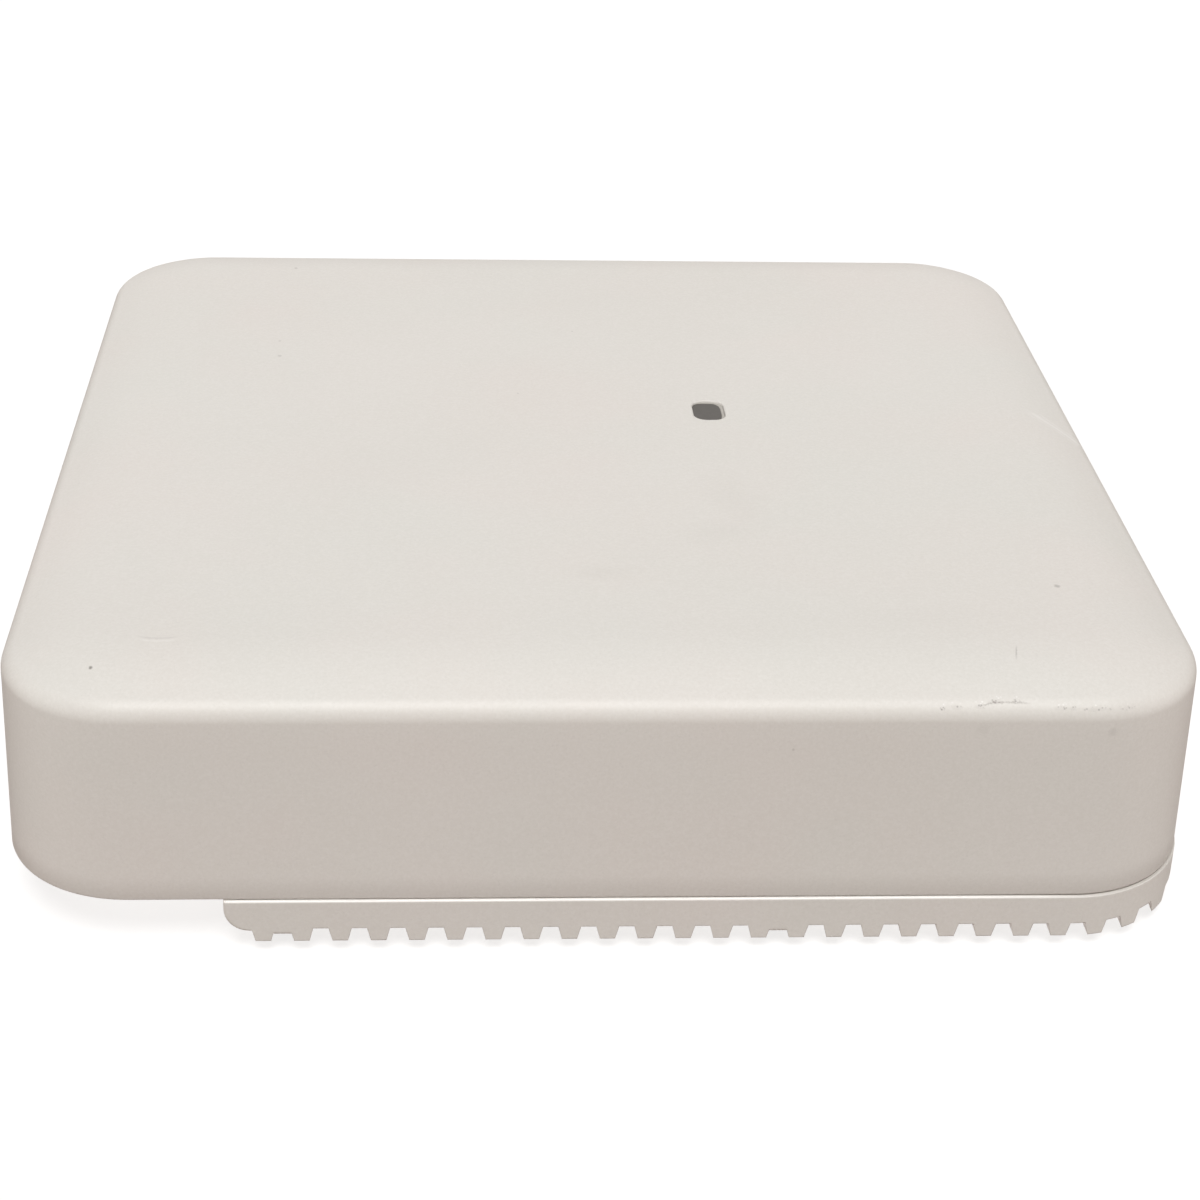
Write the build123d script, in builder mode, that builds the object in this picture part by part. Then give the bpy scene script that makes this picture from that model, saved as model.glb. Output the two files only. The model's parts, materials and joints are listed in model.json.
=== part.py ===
from build123d import *
from math import cos, radians, sin, sqrt, tan
import os

os.makedirs("parts", exist_ok=True)

# Ceiling access point, standing on its mounting studs with the cover up.
# +X is the side away from the cable recess, -Y the front, +Z the cover's face.
# The origin is the centre of the stud pattern, on the studs' outer faces.

# ---------------------------------------------------------------- overall
body_w = 220.3              # across the base's ledge, mirrored; overall width is 220.0
body_d = 220.5
top_z = 55.1
corner_r = 24.0
seam_z = 11.0
ledge = 0.3                 # the base stands out past the cover's rim by this much

# ---------------------------------------------------------------- cover
cover_w = body_w - 2 * ledge
cover_d = body_d - 2 * ledge
rim_z = seam_z + 0.25
wall_t = 2.5
wall_draft = 1.1
crown_width = 19.2          # flat face's edge to the rim's edge, measured flat
crown_r = 36.0              # the arc that rolls off the flat face
crown_angle = 22.0          # slope where the arc ends and the straight shoulder begins
edge_r = 4.4
corner_cx = cover_w / 2 - corner_r
corner_cy = cover_d / 2 - corner_r

# ---------------------------------------------------------------- base casting
recess_x = -69.0            # the cable recess runs from here to the left wall
fin_tip_z = 2.4
fin_root_z = 5.1
floor_t = 3.0
floor_z = fin_root_z + floor_t
fin_first_x = -62.0
fin_pitch = 6.94
fin_count = 25
fin_root_w = 4.2
fin_side_angle = 75.5       # leaves the tips 2.8 wide
fin_sink = 0.5              # the fins start this far inside the floor
boss_face_z = 2.2
pad_z = 2.6
deck_z = 11.85              # underside of the plate that closes the cover on the left
tongue_z = 13.4
recess_roof_z = 21.6
recess_half_y = 74.0
recess_left_x = -104.0
panel_t = 2.5
panel_foot_r = 4.6
foot_z = 4.4                # underside of the strip between the connector panel and the first fin
foot_w = 6.0
end_edge_r = 0.6            # rounding of the base's left end, seen from the front
web_z = 3.6                 # underside of the webs that fill the fin gaps beside the cover screws
web_w = 4.6
web_l = 6.5
web_edge_r = 0.8
cast_wall = 2.4
label_w = 68.0
label_d = 44.0
label_t = 0.2
label_land = 4.0            # the flat land is this much wider and deeper than the label

# ---------------------------------------------------------------- board stack
board_z = 21.5
board_t = 1.6
board_top = board_z + board_t
plate_z = 31.0
plate_t = 1.0
plate_top = plate_z + plate_t
pedestal_z = 18.3           # top of the casting's pedestals, under the hot chips
processor_h = 2.0
shield_h = 2.1
lid_h = 2.35

# ---------------------------------------------------------------- where things stand
cover_screws_at = [(-58.5, -103.4), (31.8, -103.4), (-58.5, 103.4), (31.8, 103.4),
                   (103.2, -58.0), (103.2, 58.0)]
stud_dx = 98.0
stud_dy = 82.0
board_posts_at = [(-50, -88), (-50, 88), (30, -90), (30, 90), (90, -36), (90, 36)]
standoffs_at = [(-30, -38), (-30, 38), (46, -80), (46, 80)]
processor_at = (0, -5)
memory_at = [(-9, 24), (9, 24), (-9, -34), (9, -34)]
shields_at = [(45, -45), (45, 0), (45, 45)]
led_at = (27.6, 7.6)
macro_at = [(-38, -66), (-38, 66), (74, -66), (74, 66)]
micro_at = [(12, -72), (12, 72), (76, 0), (-36, 15)]
flash_at = (-26, -12)
transformer_at = (-36, -66)
inductors_at = [(-12, -62), (2, -62), (-12, -48)]
capacitors_at = [(-57, -44), (-57, -52), (-49, -44), (-49, -52), (-36, -50)]
network_y = [-26.0, -4.0, 18.0]
usb_y = 38.0
power_y = -58.0
power_z = 15.9
button_y = -44.0
button_z = 16.5
lock_y = 58.0
lock_z = 15.0
label_at = (10, 0)


# The cover's body, offset inwards by t, standing on the level "bottom".
# A half section is turned about each corner's axis and run along each side.
def cover_body(t, bottom):
    a = radians(crown_angle)
    d = radians(wall_draft)
    flat_r = corner_r - crown_width
    arc_z = top_z - crown_r
    arc_r = crown_r - t
    arc_x1 = flat_r + arc_r * sin(a)
    arc_z1 = arc_z + arc_r * cos(a)
    arc_xm = flat_r + arc_r * sin(a / 2)
    arc_zm = arc_z + arc_r * cos(a / 2)
    wall_x = corner_r - t / cos(d)
    edge_z = (arc_x1 + arc_z1 / tan(a) - wall_x - rim_z * tan(d)) / (1 / tan(a) - tan(d))
    edge_x = wall_x - (edge_z - rim_z) * tan(d)
    foot_x = wall_x - (bottom - rim_z) * tan(d)
    with BuildSketch(Plane.XZ) as section:
        with BuildLine():
            Line((0, bottom), (foot_x, bottom))
            Line((foot_x, bottom), (edge_x, edge_z))
            Line((edge_x, edge_z), (arc_x1, arc_z1))
            ThreePointArc((arc_x1, arc_z1), (arc_xm, arc_zm), (flat_r, arc_z + arc_r))
            Line((flat_r, arc_z + arc_r), (0, arc_z + arc_r))
            Line((0, arc_z + arc_r), (0, bottom))
        make_face()
        fillet(section.vertices().sort_by(Axis.X)[-2:].sort_by(Axis.Y)[-1], edge_r - t * 0.6)
    half = section.sketch
    with BuildPart() as quarter:
        add(revolve(half, axis=Axis.Z, revolution_arc=90, mode=Mode.PRIVATE))
    with BuildPart() as side_x:
        add(extrude(half, amount=-2 * corner_cy, mode=Mode.PRIVATE))
    with BuildPart() as side_y:
        add(extrude(half, amount=-2 * corner_cx, mode=Mode.PRIVATE))
    with BuildPart() as body:
        with Locations((0, 0, bottom)):
            Box(2 * corner_cx, 2 * corner_cy, arc_z + arc_r - bottom,
                align=(Align.CENTER, Align.CENTER, Align.MIN))
        for i in range(4):
            cx = corner_cx if i in (0, 3) else -corner_cx
            cy = corner_cy if i in (0, 1) else -corner_cy
            add(Pos(cx, cy, 0) * Rot(0, 0, 90 * i) * quarter.part)
        add(Pos(corner_cx, -corner_cy, 0) * side_x.part)
        add(Pos(-corner_cx, corner_cy, 0) * Rot(0, 0, 180) * side_x.part)
        add(Pos(corner_cx, corner_cy, 0) * Rot(0, 0, 90) * side_y.part)
        add(Pos(-corner_cx, -corner_cy, 0) * Rot(0, 0, -90) * side_y.part)
    return body.part


cover_outside = cover_body(0, rim_z)
cover_inside = cover_body(wall_t, rim_z - 1)

window_w = 6.8
window_d = 9.8
window_r = 2.7
post_r = 3.4
post_z = 14.5
rib_t = 1.6
rib_l = 5.5
rib_out = 2.0               # the rib's middle stands this far outside the post's axis

with BuildPart() as top_cover:
    add(cover_outside)
    add(cover_inside, mode=Mode.SUBTRACT)
    # a post over each cover screw, tied to the wall by a rib
    with BuildSketch(Plane.XY.offset(post_z)):
        with Locations(*cover_screws_at):
            Circle(post_r)
        with Locations(*[(x, (abs(y) + rib_out) * (1 if y > 0 else -1)) for x, y in cover_screws_at[:4]]):
            Rectangle(rib_t, rib_l)
        with Locations(*[(x + rib_out, y) for x, y in cover_screws_at[4:]]):
            Rectangle(rib_l, rib_t)
    extrude(amount=40)
    add(cover_outside, mode=Mode.INTERSECT)
    with BuildSketch(Plane.XY.offset(post_z)):
        with Locations(*cover_screws_at):
            Circle(1.5)
    extrude(amount=12, mode=Mode.SUBTRACT)
    # window over the status light
    with BuildSketch(Plane.XY.offset(45)):
        with Locations(led_at):
            RectangleRounded(window_w, window_d, window_r)
    extrude(amount=20, mode=Mode.SUBTRACT)
    window_edge = top_cover.edges().filter_by_position(Axis.Z, top_z - 0.01, top_z + 0.01)
    window_edge = window_edge.filter_by(lambda e: abs(e.center().X - led_at[0]) < 6)
    chamfer(window_edge, 0.35)
top_cover.part.label = "top_cover"
export_step(top_cover.part, "parts/top_cover.step")


# Outline of the base below the seam, shrunk inwards by "inset".
def base_outline(inset, left):
    r = corner_r + ledge - inset
    with BuildSketch(Plane.XY, mode=Mode.PRIVATE) as outline:
        with Locations((left, 0)):
            Rectangle(body_w / 2 - inset - left, body_d - 2 * inset, align=(Align.MIN, Align.CENTER))
        fillet(outline.vertices().group_by(Axis.X)[-1], r)
    return outline.sketch


full_outline = base_outline(0, recess_x)
inner_outline = base_outline(3.4, recess_x + panel_t)
tongue_out = base_outline(ledge + wall_t + 0.2, recess_x)
tongue_in = base_outline(ledge + wall_t + 1.8, recess_x + panel_t)

# A web that fills a fin gap at the rim, its outer lower edge rounded.
with BuildPart() as gap_web:
    Box(web_w, web_l, fin_root_z + fin_sink - web_z, align=(Align.CENTER, Align.MIN, Align.MIN))
    fillet(gap_web.edges().filter_by(Axis.X).group_by(Axis.Z)[0].sort_by(Axis.Y)[0], web_edge_r)

pedestals = [(processor_at, 28, 28)] + [(p, 26, 20) for p in shields_at]

with BuildPart() as heatsink_base:
    # floor and outer wall up to the seam, with a bright edge at the top
    with BuildSketch(Plane.XY.offset(fin_root_z)):
        add(full_outline)
    extrude(amount=seam_z - fin_root_z)
    # the strip along the cable recess is a little deeper, with a well rounded lower edge
    with BuildSketch(Plane.XY.offset(foot_z)):
        with Locations((recess_x, 0)):
            Rectangle(foot_w, body_d, align=(Align.MIN, Align.CENTER))
    extrude(amount=fin_root_z - foot_z)
    low_edges = heatsink_base.edges().group_by(Axis.Z)[0].filter_by(Axis.Y)
    fillet(low_edges.sort_by(Axis.X)[0], panel_foot_r)
    # both ends of that strip are rounded, from the lower face up to the seam
    end_edges = heatsink_base.edges().filter_by(Axis.Z).group_by(Axis.X)[0]
    fillet(end_edges, end_edge_r)
    chamfer(heatsink_base.edges().group_by(Axis.Z)[-1], 0.25)
    with BuildSketch(Plane.XY.offset(floor_z)):
        add(inner_outline)
    extrude(amount=10, mode=Mode.SUBTRACT)
    # fins under the floor, cut to the outline
    with BuildSketch(Plane.XZ.offset(body_d / 2)):
        for i in range(fin_count):
            with Locations((fin_first_x + i * fin_pitch, fin_root_z + fin_sink)):
                Trapezoid(fin_root_w + fin_sink / 2, fin_root_z + fin_sink - fin_tip_z, fin_side_angle,
                          align=(Align.CENTER, Align.MIN), rotation=180)
    extrude(amount=-body_d, mode=Mode.ADD)
    for x, y in cover_screws_at[:4]:
        side = 1 if y > 0 else -1
        add(Pos(x, side * body_d / 2, web_z) * Rot(0, 0, 90 + 90 * side) * gap_web.part)
    with BuildSketch(Plane.XY.offset(fin_tip_z - 1)) as trim:
        Rectangle(body_w * 1.5, body_d * 1.5)
        add(full_outline, mode=Mode.SUBTRACT)
    extrude(amount=seam_z - fin_tip_z + 2, mode=Mode.SUBTRACT)
    # flat land for the rating label, and the four bosses that carry the studs
    with BuildSketch(Plane.XY.offset(fin_tip_z - 0.5)):
        with Locations(label_at):
            RectangleRounded(label_w + label_land, label_d + label_land, 3)
    extrude(amount=pad_z - fin_tip_z + 0.5, mode=Mode.SUBTRACT)
    with BuildSketch(Plane.XY.offset(pad_z)):
        with Locations(label_at):
            RectangleRounded(label_w + label_land, label_d + label_land, 3)
    extrude(amount=floor_z - pad_z)
    with BuildSketch(Plane.XY.offset(boss_face_z)):
        with GridLocations(stud_dx, stud_dy, 2, 2):
            Circle(8.0)
    extrude(amount=floor_z - boss_face_z)
    # bosses for the cover screws, standing up to meet the cover's posts
    with BuildSketch(Plane.XY.offset(fin_tip_z)):
        with Locations(*cover_screws_at):
            Circle(3.9)
    extrude(amount=post_z - 0.1 - fin_tip_z)
    # tongue that keys inside the cover's rim
    with BuildSketch(Plane.XY.offset(floor_z)):
        add(tongue_out)
        add(tongue_in, mode=Mode.SUBTRACT)
        with Locations((recess_x - 5, 0)):
            Rectangle(20, 400, align=(Align.MAX, Align.CENTER), mode=Mode.SUBTRACT)
    extrude(amount=tongue_z - floor_z)
    # plate that closes the cover on the left, at the level of the rim
    with BuildSketch(Plane.XY.offset(deck_z)) as strip:
        with Locations((-cover_w / 2 + wall_t + 0.4, 0)):
            Rectangle(40, cover_d - 2 * wall_t - 0.8, align=(Align.MIN, Align.CENTER))
        fillet(strip.vertices().group_by(Axis.X)[0], corner_r - wall_t - 0.4)
    extrude(amount=cast_wall)
    # raised box of the cable recess
    with BuildSketch(Plane.XY.offset(deck_z)):
        with Locations((recess_left_x - cast_wall, 0)):
            Rectangle(recess_x + panel_t - recess_left_x + cast_wall, 2 * (recess_half_y + cast_wall),
                      align=(Align.MIN, Align.CENTER))
    extrude(amount=recess_roof_z + cast_wall - deck_z)
    # connector panel, a full-height wall between the recess and the board bay
    with BuildSketch(Plane.XY.offset(fin_root_z)):
        with Locations((recess_x, 0)):
            Rectangle(panel_t, 2 * (recess_half_y + cast_wall), align=(Align.MIN, Align.CENTER))
    extrude(amount=recess_roof_z + cast_wall - fin_root_z)
    with BuildSketch(Plane.XY.offset(fin_root_z)):
        with Locations((recess_x, 0)):
            Rectangle(panel_t, body_d - 16, align=(Align.MIN, Align.CENTER))
    extrude(amount=deck_z + cast_wall - fin_root_z)
    with BuildSketch(Plane.XY.offset(rim_z)):
        with Locations((recess_left_x, 0)):
            Rectangle(recess_x - recess_left_x, 2 * recess_half_y, align=(Align.MIN, Align.CENTER))
    extrude(amount=recess_roof_z - rim_z, mode=Mode.SUBTRACT)
    # pedestals that meet the hot chips, and posts that carry the board
    for at, w, d in pedestals:
        with BuildSketch(Plane.XY.offset(floor_z)):
            with Locations(at):
                RectangleRounded(w, d, 2)
        extrude(amount=pedestal_z - floor_z)
    with BuildSketch(Plane.XY.offset(floor_z - 1)):
        with Locations(*board_posts_at, *standoffs_at):
            Circle(3.6)
    extrude(amount=board_z - floor_z + 1)
    with BuildSketch(Plane.XY.offset(board_z)):
        with Locations(*board_posts_at, *standoffs_at):
            Circle(1.3)
    extrude(amount=-9, mode=Mode.SUBTRACT)
    # stud holes, cover screw holes and their counterbores
    with BuildSketch(Plane.XY.offset(boss_face_z)):
        with GridLocations(stud_dx, stud_dy, 2, 2):
            Circle(2.05)
    extrude(amount=5.0, mode=Mode.SUBTRACT)
    with BuildSketch(Plane.XY.offset(fin_tip_z - 1)):
        with Locations(*cover_screws_at):
            Circle(1.75)
    extrude(amount=20, mode=Mode.SUBTRACT)
    with BuildSketch(Plane.XY.offset(fin_tip_z - 1)):
        with Locations(*cover_screws_at):
            Circle(3.1)
    extrude(amount=5.0, mode=Mode.SUBTRACT)
    # openings in the connector panel
    with BuildSketch(Plane.YZ.offset(recess_x - 1)):
        for y in network_y:
            with Locations((y, 14.85)):
                Rectangle(16.6, 13.3)
        with Locations((usb_y, 17.9)):
            Rectangle(14.0, 7.0)
        with Locations((power_y, power_z)):
            Rectangle(9.4, 11.2)
        with Locations((button_y, button_z)):
            Circle(2.0)
        with Locations((lock_y, lock_z)):
            RectangleRounded(7.2, 3.2, 1.4)
    extrude(amount=panel_t + 1.2, mode=Mode.SUBTRACT)
heatsink_base.part.label = "heatsink_base"
export_step(heatsink_base.part, "parts/heatsink_base.step")

# ---------------------------------------------------------------- fasteners and label
with BuildPart() as mounting_studs:
    with BuildSketch(Plane.XZ) as stud_section:
        with BuildLine():
            Polyline((0, 0), (4.0, 0), (4.2, 0.2), (4.2, 1.0), (2.6, 1.0), (2.6, boss_face_z),
                     (2.0, boss_face_z), (2.0, 7.0), (0, 7.0), close=True)
        make_face()
    with GridLocations(stud_dx, stud_dy, 2, 2):
        add(revolve(stud_section.sketch, axis=Axis.Z, mode=Mode.PRIVATE))
    with BuildSketch(Plane.XY):
        with GridLocations(stud_dx, stud_dy, 2, 2):
            Rectangle(4.4, 1.0)
            Rectangle(1.0, 4.4)
    extrude(amount=0.7, mode=Mode.SUBTRACT)
mounting_studs.part.label = "mounting_studs"
export_step(mounting_studs.part, "parts/mounting_studs.step")


# A pan-head screw pointing up from its origin, where the head meets the work.
def screw(shank_r, length, head_r, head_h):
    with BuildPart() as one:
        Cylinder(shank_r, length, align=(Align.CENTER, Align.CENTER, Align.MIN))
        with Locations((0, 0, -head_h)):
            Cylinder(head_r, head_h, align=(Align.CENTER, Align.CENTER, Align.MIN))
        fillet(one.edges().group_by(Axis.Z)[0], head_h * 0.35)
        with BuildSketch(Plane.XY.offset(-head_h)):
            Rectangle(head_r * 1.1, head_r * 0.28)
            Rectangle(head_r * 0.28, head_r * 1.1)
        extrude(amount=head_h * 0.6, mode=Mode.SUBTRACT)
    return one.part


cover_screw = screw(1.45, 17.5, 2.8, 1.9)
small_screw = Rot(180, 0, 0) * screw(1.2, 7.5, 2.5, 1.5)
plate_screw = Rot(180, 0, 0) * screw(1.2, 5.0, 2.4, 1.4)

with BuildPart() as cover_screws:
    for x, y in cover_screws_at:
        add(Pos(x, y, fin_tip_z + 4.0) * cover_screw)
cover_screws.part.label = "cover_screws"
export_step(cover_screws.part, "parts/cover_screws.step")

with BuildPart() as rating_label:
    with BuildSketch(Plane.XY.offset(pad_z - label_t)):
        with Locations(label_at):
            RectangleRounded(label_w, label_d, 2)
    extrude(amount=label_t)
rating_label.part.label = "rating_label"
export_step(rating_label.part, "parts/rating_label.step")

with BuildPart() as board_screws:
    for x, y in board_posts_at:
        add(Pos(x, y, board_top) * small_screw)
board_screws.part.label = "board_screws"
export_step(board_screws.part, "parts/board_screws.step")

# ---------------------------------------------------------------- main board
board_w = 161.0
board_d = 196.0
board_x = 16.5

with BuildPart() as main_board:
    with BuildSketch(Plane.XY.offset(board_z)):
        with Locations((board_x, 0)):
            RectangleRounded(board_w, board_d, 6)
        with Locations(*board_posts_at):
            Circle(1.4, mode=Mode.SUBTRACT)
        with Locations(*standoffs_at):
            Circle(1.4, mode=Mode.SUBTRACT)
    extrude(amount=board_t)
main_board.part.label = "main_board"
export_step(main_board.part, "parts/main_board.step")


# A flat block hung under the board, its lower edges eased.
def hanging_chip(w, d, h, ease):
    with BuildPart() as chip:
        with Locations((0, 0, -h)):
            Box(w, d, h, align=(Align.CENTER, Align.CENTER, Align.MIN))
        chamfer(chip.faces().sort_by(Axis.Z)[0].edges(), ease)
    return chip.part


with BuildPart() as processor_chip:
    with Locations((processor_at[0], processor_at[1], board_z - 0.9)):
        Box(27, 27, 0.9, align=(Align.CENTER, Align.CENTER, Align.MIN))
    with Locations((processor_at[0], processor_at[1], board_z - processor_h)):
        Box(23, 23, processor_h - 0.9, align=(Align.CENTER, Align.CENTER, Align.MIN))
    chamfer(processor_chip.faces().sort_by(Axis.Z)[0].edges(), 0.3)
processor_chip.part.label = "processor_chip"
export_step(processor_chip.part, "parts/processor_chip.step")

memory_chip = hanging_chip(13, 9, 1.1, 0.15)
with BuildPart() as memory_chips:
    for x, y in memory_at:
        add(Pos(x, y, board_z) * memory_chip)
memory_chips.part.label = "memory_chips"
export_step(memory_chips.part, "parts/memory_chips.step")

flash_block = hanging_chip(12, 18, 1.1, 0.15)
with BuildPart() as flash_chip:
    add(Pos(*flash_at, board_z) * flash_block)
flash_chip.part.label = "flash_chip"
export_step(flash_chip.part, "parts/flash_chip.step")

radio_chip = hanging_chip(14, 14, 0.9, 0.12)
with BuildPart() as radio_chips:
    for x, y in shields_at:
        add(Pos(x, y, board_z) * radio_chip)
radio_chips.part.label = "radio_chips"
export_step(radio_chips.part, "parts/radio_chips.step")

shield_w = 36.0
shield_d = 27.0
with BuildPart() as shield_frames:
    with BuildSketch(Plane.XY.offset(board_z - shield_h)):
        with Locations(*shields_at):
            RectangleRounded(shield_w, shield_d, 1.5)
            RectangleRounded(shield_w - 0.5, shield_d - 0.5, 1.25, mode=Mode.SUBTRACT)
    extrude(amount=shield_h)
    with BuildSketch(Plane.XY.offset(board_z - shield_h)):
        with Locations(*shields_at):
            RectangleRounded(shield_w, shield_d, 1.5)
            RectangleRounded(shield_w - 3.5, shield_d - 3.5, 1.0, mode=Mode.SUBTRACT)
    extrude(amount=0.25)
shield_frames.part.label = "shield_frames"
export_step(shield_frames.part, "parts/shield_frames.step")

with BuildPart() as shield_lids:
    with BuildSketch(Plane.XY.offset(board_z - lid_h)):
        with Locations(*shields_at):
            RectangleRounded(shield_w + 0.6, shield_d + 0.6, 1.8)
    extrude(amount=1.5)
    with BuildSketch(Plane.XY.offset(board_z - shield_h)):
        with Locations(*shields_at):
            RectangleRounded(shield_w + 0.1, shield_d + 0.1, 1.55)
    extrude(amount=2, mode=Mode.SUBTRACT)
shield_lids.part.label = "shield_lids"
export_step(shield_lids.part, "parts/shield_lids.step")

with BuildPart() as radio_thermal_pads:
    with BuildSketch(Plane.XY.offset(board_z - shield_h)):
        with Locations(*shields_at):
            Rectangle(13, 13)
    extrude(amount=1.2)
radio_thermal_pads.part.label = "radio_thermal_pads"
export_step(radio_thermal_pads.part, "parts/radio_thermal_pads.step")

with BuildPart() as heatsink_thermal_pads:
    with BuildSketch(Plane.XY.offset(pedestal_z)):
        with Locations(*shields_at):
            Rectangle(24, 18)
    extrude(amount=board_z - lid_h - pedestal_z)
    with BuildSketch(Plane.XY.offset(pedestal_z)):
        with Locations(processor_at):
            Rectangle(22, 22)
    extrude(amount=board_z - processor_h - pedestal_z)
heatsink_thermal_pads.part.label = "heatsink_thermal_pads"
export_step(heatsink_thermal_pads.part, "parts/heatsink_thermal_pads.step")

# ---------------------------------------------------------------- network jacks
jack_front = recess_x + 0.1
jack_back = -50.0
jack_w = 16.2
jack_h = 13.1
jack_top = board_z
jack_len = jack_back - jack_front
jack_mid_z = jack_top - jack_h / 2
shell_t = 0.3
plug_w = 11.9
plug_h = 8.0
plug_z = jack_mid_z - 0.6

with BuildPart() as network_jack_shells:
    with BuildSketch(Plane.YZ.offset(jack_front)):
        with Locations(*[(y, jack_mid_z) for y in network_y]):
            Rectangle(jack_w, jack_h)
            Rectangle(jack_w - 2 * shell_t, jack_h - 2 * shell_t, mode=Mode.SUBTRACT)
    extrude(amount=jack_len)
    # turned-in front frame around the plug opening
    with BuildSketch(Plane.YZ.offset(jack_front)):
        with Locations(*[(y, jack_mid_z) for y in network_y]):
            Rectangle(jack_w, jack_h)
        with Locations(*[(y, plug_z) for y in network_y]):
            Rectangle(plug_w + 0.4, plug_h + 0.4, mode=Mode.SUBTRACT)
        with Locations(*[(y, plug_z - plug_h / 2 - 0.8) for y in network_y]):
            Rectangle(6.2, 2.4, mode=Mode.SUBTRACT)
    extrude(amount=shell_t)
    # sprung tongues struck out of each side
    with BuildSketch(Plane.XZ.offset(100)):
        with Locations((jack_front + 8, jack_mid_z)):
            Rectangle(7, 4)
            with Locations((jack_front + 8.4, jack_mid_z)):
                Rectangle(6.2, 3.2, mode=Mode.SUBTRACT)
    extrude(amount=-200, mode=Mode.SUBTRACT)
network_jack_shells.part.label = "network_jack_shells"
export_step(network_jack_shells.part, "parts/network_jack_shells.step")

cavity_depth = 12.5
with BuildPart() as network_jack_inserts:
    with BuildSketch(Plane.YZ.offset(jack_front + shell_t + 0.05)):
        with Locations(*[(y, jack_mid_z) for y in network_y]):
            Rectangle(jack_w - 2 * shell_t - 0.1, jack_h - 2 * shell_t - 0.1)
    extrude(amount=jack_len - shell_t - 0.4)
    with BuildSketch(Plane.YZ.offset(jack_front)):
        with Locations(*[(y, plug_z) for y in network_y]):
            Rectangle(plug_w, plug_h)
        with Locations(*[(y, plug_z - plug_h / 2 - 0.8) for y in network_y]):
            Rectangle(6.0, 2.2)
    extrude(amount=cavity_depth + shell_t, mode=Mode.SUBTRACT)
network_jack_inserts.part.label = "network_jack_inserts"
export_step(network_jack_inserts.part, "parts/network_jack_inserts.step")

with BuildPart() as network_jack_contacts:
    for y in network_y:
        with BuildSketch(Plane.XZ.offset(-y)) as wire:
            with BuildLine():
                Polyline((jack_front + 3.0, plug_z + plug_h / 2),
                         (jack_front + 3.4, plug_z + plug_h / 2),
                         (jack_front + cavity_depth - 0.2, plug_z + 0.4),
                         (jack_front + cavity_depth - 0.2, plug_z),
                         (jack_front + cavity_depth - 0.6, plug_z),
                         close=True)
            make_face()
        for i in range(8):
            add(Pos(0, (i - 3.5) * 1.02, 0) * extrude(wire.sketch, amount=0.17, both=True,
                                                     mode=Mode.PRIVATE))
network_jack_contacts.part.label = "network_jack_contacts"
export_step(network_jack_contacts.part, "parts/network_jack_contacts.step")

# ---------------------------------------------------------------- usb jack
usb_w = 13.3
usb_h = 5.8
usb_mid_z = board_z - 0.7 - usb_h / 2
with BuildPart() as usb_jack_shell:
    with BuildSketch(Plane.YZ.offset(recess_x + 0.1)):
        with Locations((usb_y, usb_mid_z)):
            Rectangle(usb_w, usb_h)
            Rectangle(usb_w - 0.7, usb_h - 0.7, mode=Mode.SUBTRACT)
    extrude(amount=14.0)
    with BuildSketch(Plane.YZ.offset(recess_x + 13.7)):
        with Locations((usb_y, usb_mid_z)):
            Rectangle(usb_w, usb_h)
    extrude(amount=0.4)
    # legs soldered to the board
    with Locations((recess_x + 5, usb_y - usb_w / 2 + 0.3, usb_mid_z + usb_h / 2),
                   (recess_x + 5, usb_y + usb_w / 2 - 0.3, usb_mid_z + usb_h / 2),
                   (recess_x + 11.5, usb_y - usb_w / 2 + 0.3, usb_mid_z + usb_h / 2),
                   (recess_x + 11.5, usb_y + usb_w / 2 - 0.3, usb_mid_z + usb_h / 2)):
        Box(2.2, 0.4, board_z - usb_mid_z - usb_h / 2, align=(Align.CENTER, Align.CENTER, Align.MIN))
usb_jack_shell.part.label = "usb_jack_shell"
export_step(usb_jack_shell.part, "parts/usb_jack_shell.step")

with BuildPart() as usb_jack_tongue:
    with BuildSketch(Plane.YZ.offset(recess_x + 1.2)):
        with Locations((usb_y, usb_mid_z + 0.75)):
            Rectangle(11.1, 1.8)
    extrude(amount=12.4)
    with BuildSketch(Plane.YZ.offset(recess_x + 11.0)):
        with Locations((usb_y, usb_mid_z)):
            Rectangle(usb_w - 0.9, usb_h - 0.9)
    extrude(amount=2.6)
    # four contact grooves along the tongue's lower face
    with BuildSketch(Plane.YZ.offset(recess_x + 1.2)):
        with Locations(*[(usb_y + s, usb_mid_z - 0.1) for s in (-3.5, -1, 1, 3.5)]):
            Rectangle(1.1, 0.4)
    extrude(amount=8.5, mode=Mode.SUBTRACT)
usb_jack_tongue.part.label = "usb_jack_tongue"
export_step(usb_jack_tongue.part, "parts/usb_jack_tongue.step")

# ---------------------------------------------------------------- power jack
power_front = recess_x + 0.1
with BuildPart() as power_jack_body:
    with BuildSketch(Plane.YZ.offset(power_front)):
        with Locations((power_y, power_z)):
            Rectangle(9.0, 10.9)
    extrude(amount=13.5)
    with BuildSketch(Plane.YZ.offset(power_front)):
        with Locations((power_y, power_z)):
            Circle(3.1)
    extrude(amount=9.6, mode=Mode.SUBTRACT)
    with BuildSketch(Plane.YZ.offset(power_front + 9.6)):
        with Locations((power_y, power_z)):
            Circle(0.9)
    extrude(amount=10, mode=Mode.SUBTRACT)
    with Locations((power_front + 6.75, power_y, power_z + 5.4)):
        Box(13.5, 6.0, board_z - power_z - 5.4, align=(Align.CENTER, Align.CENTER, Align.MIN))
power_jack_body.part.label = "power_jack_body"
export_step(power_jack_body.part, "parts/power_jack_body.step")

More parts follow.
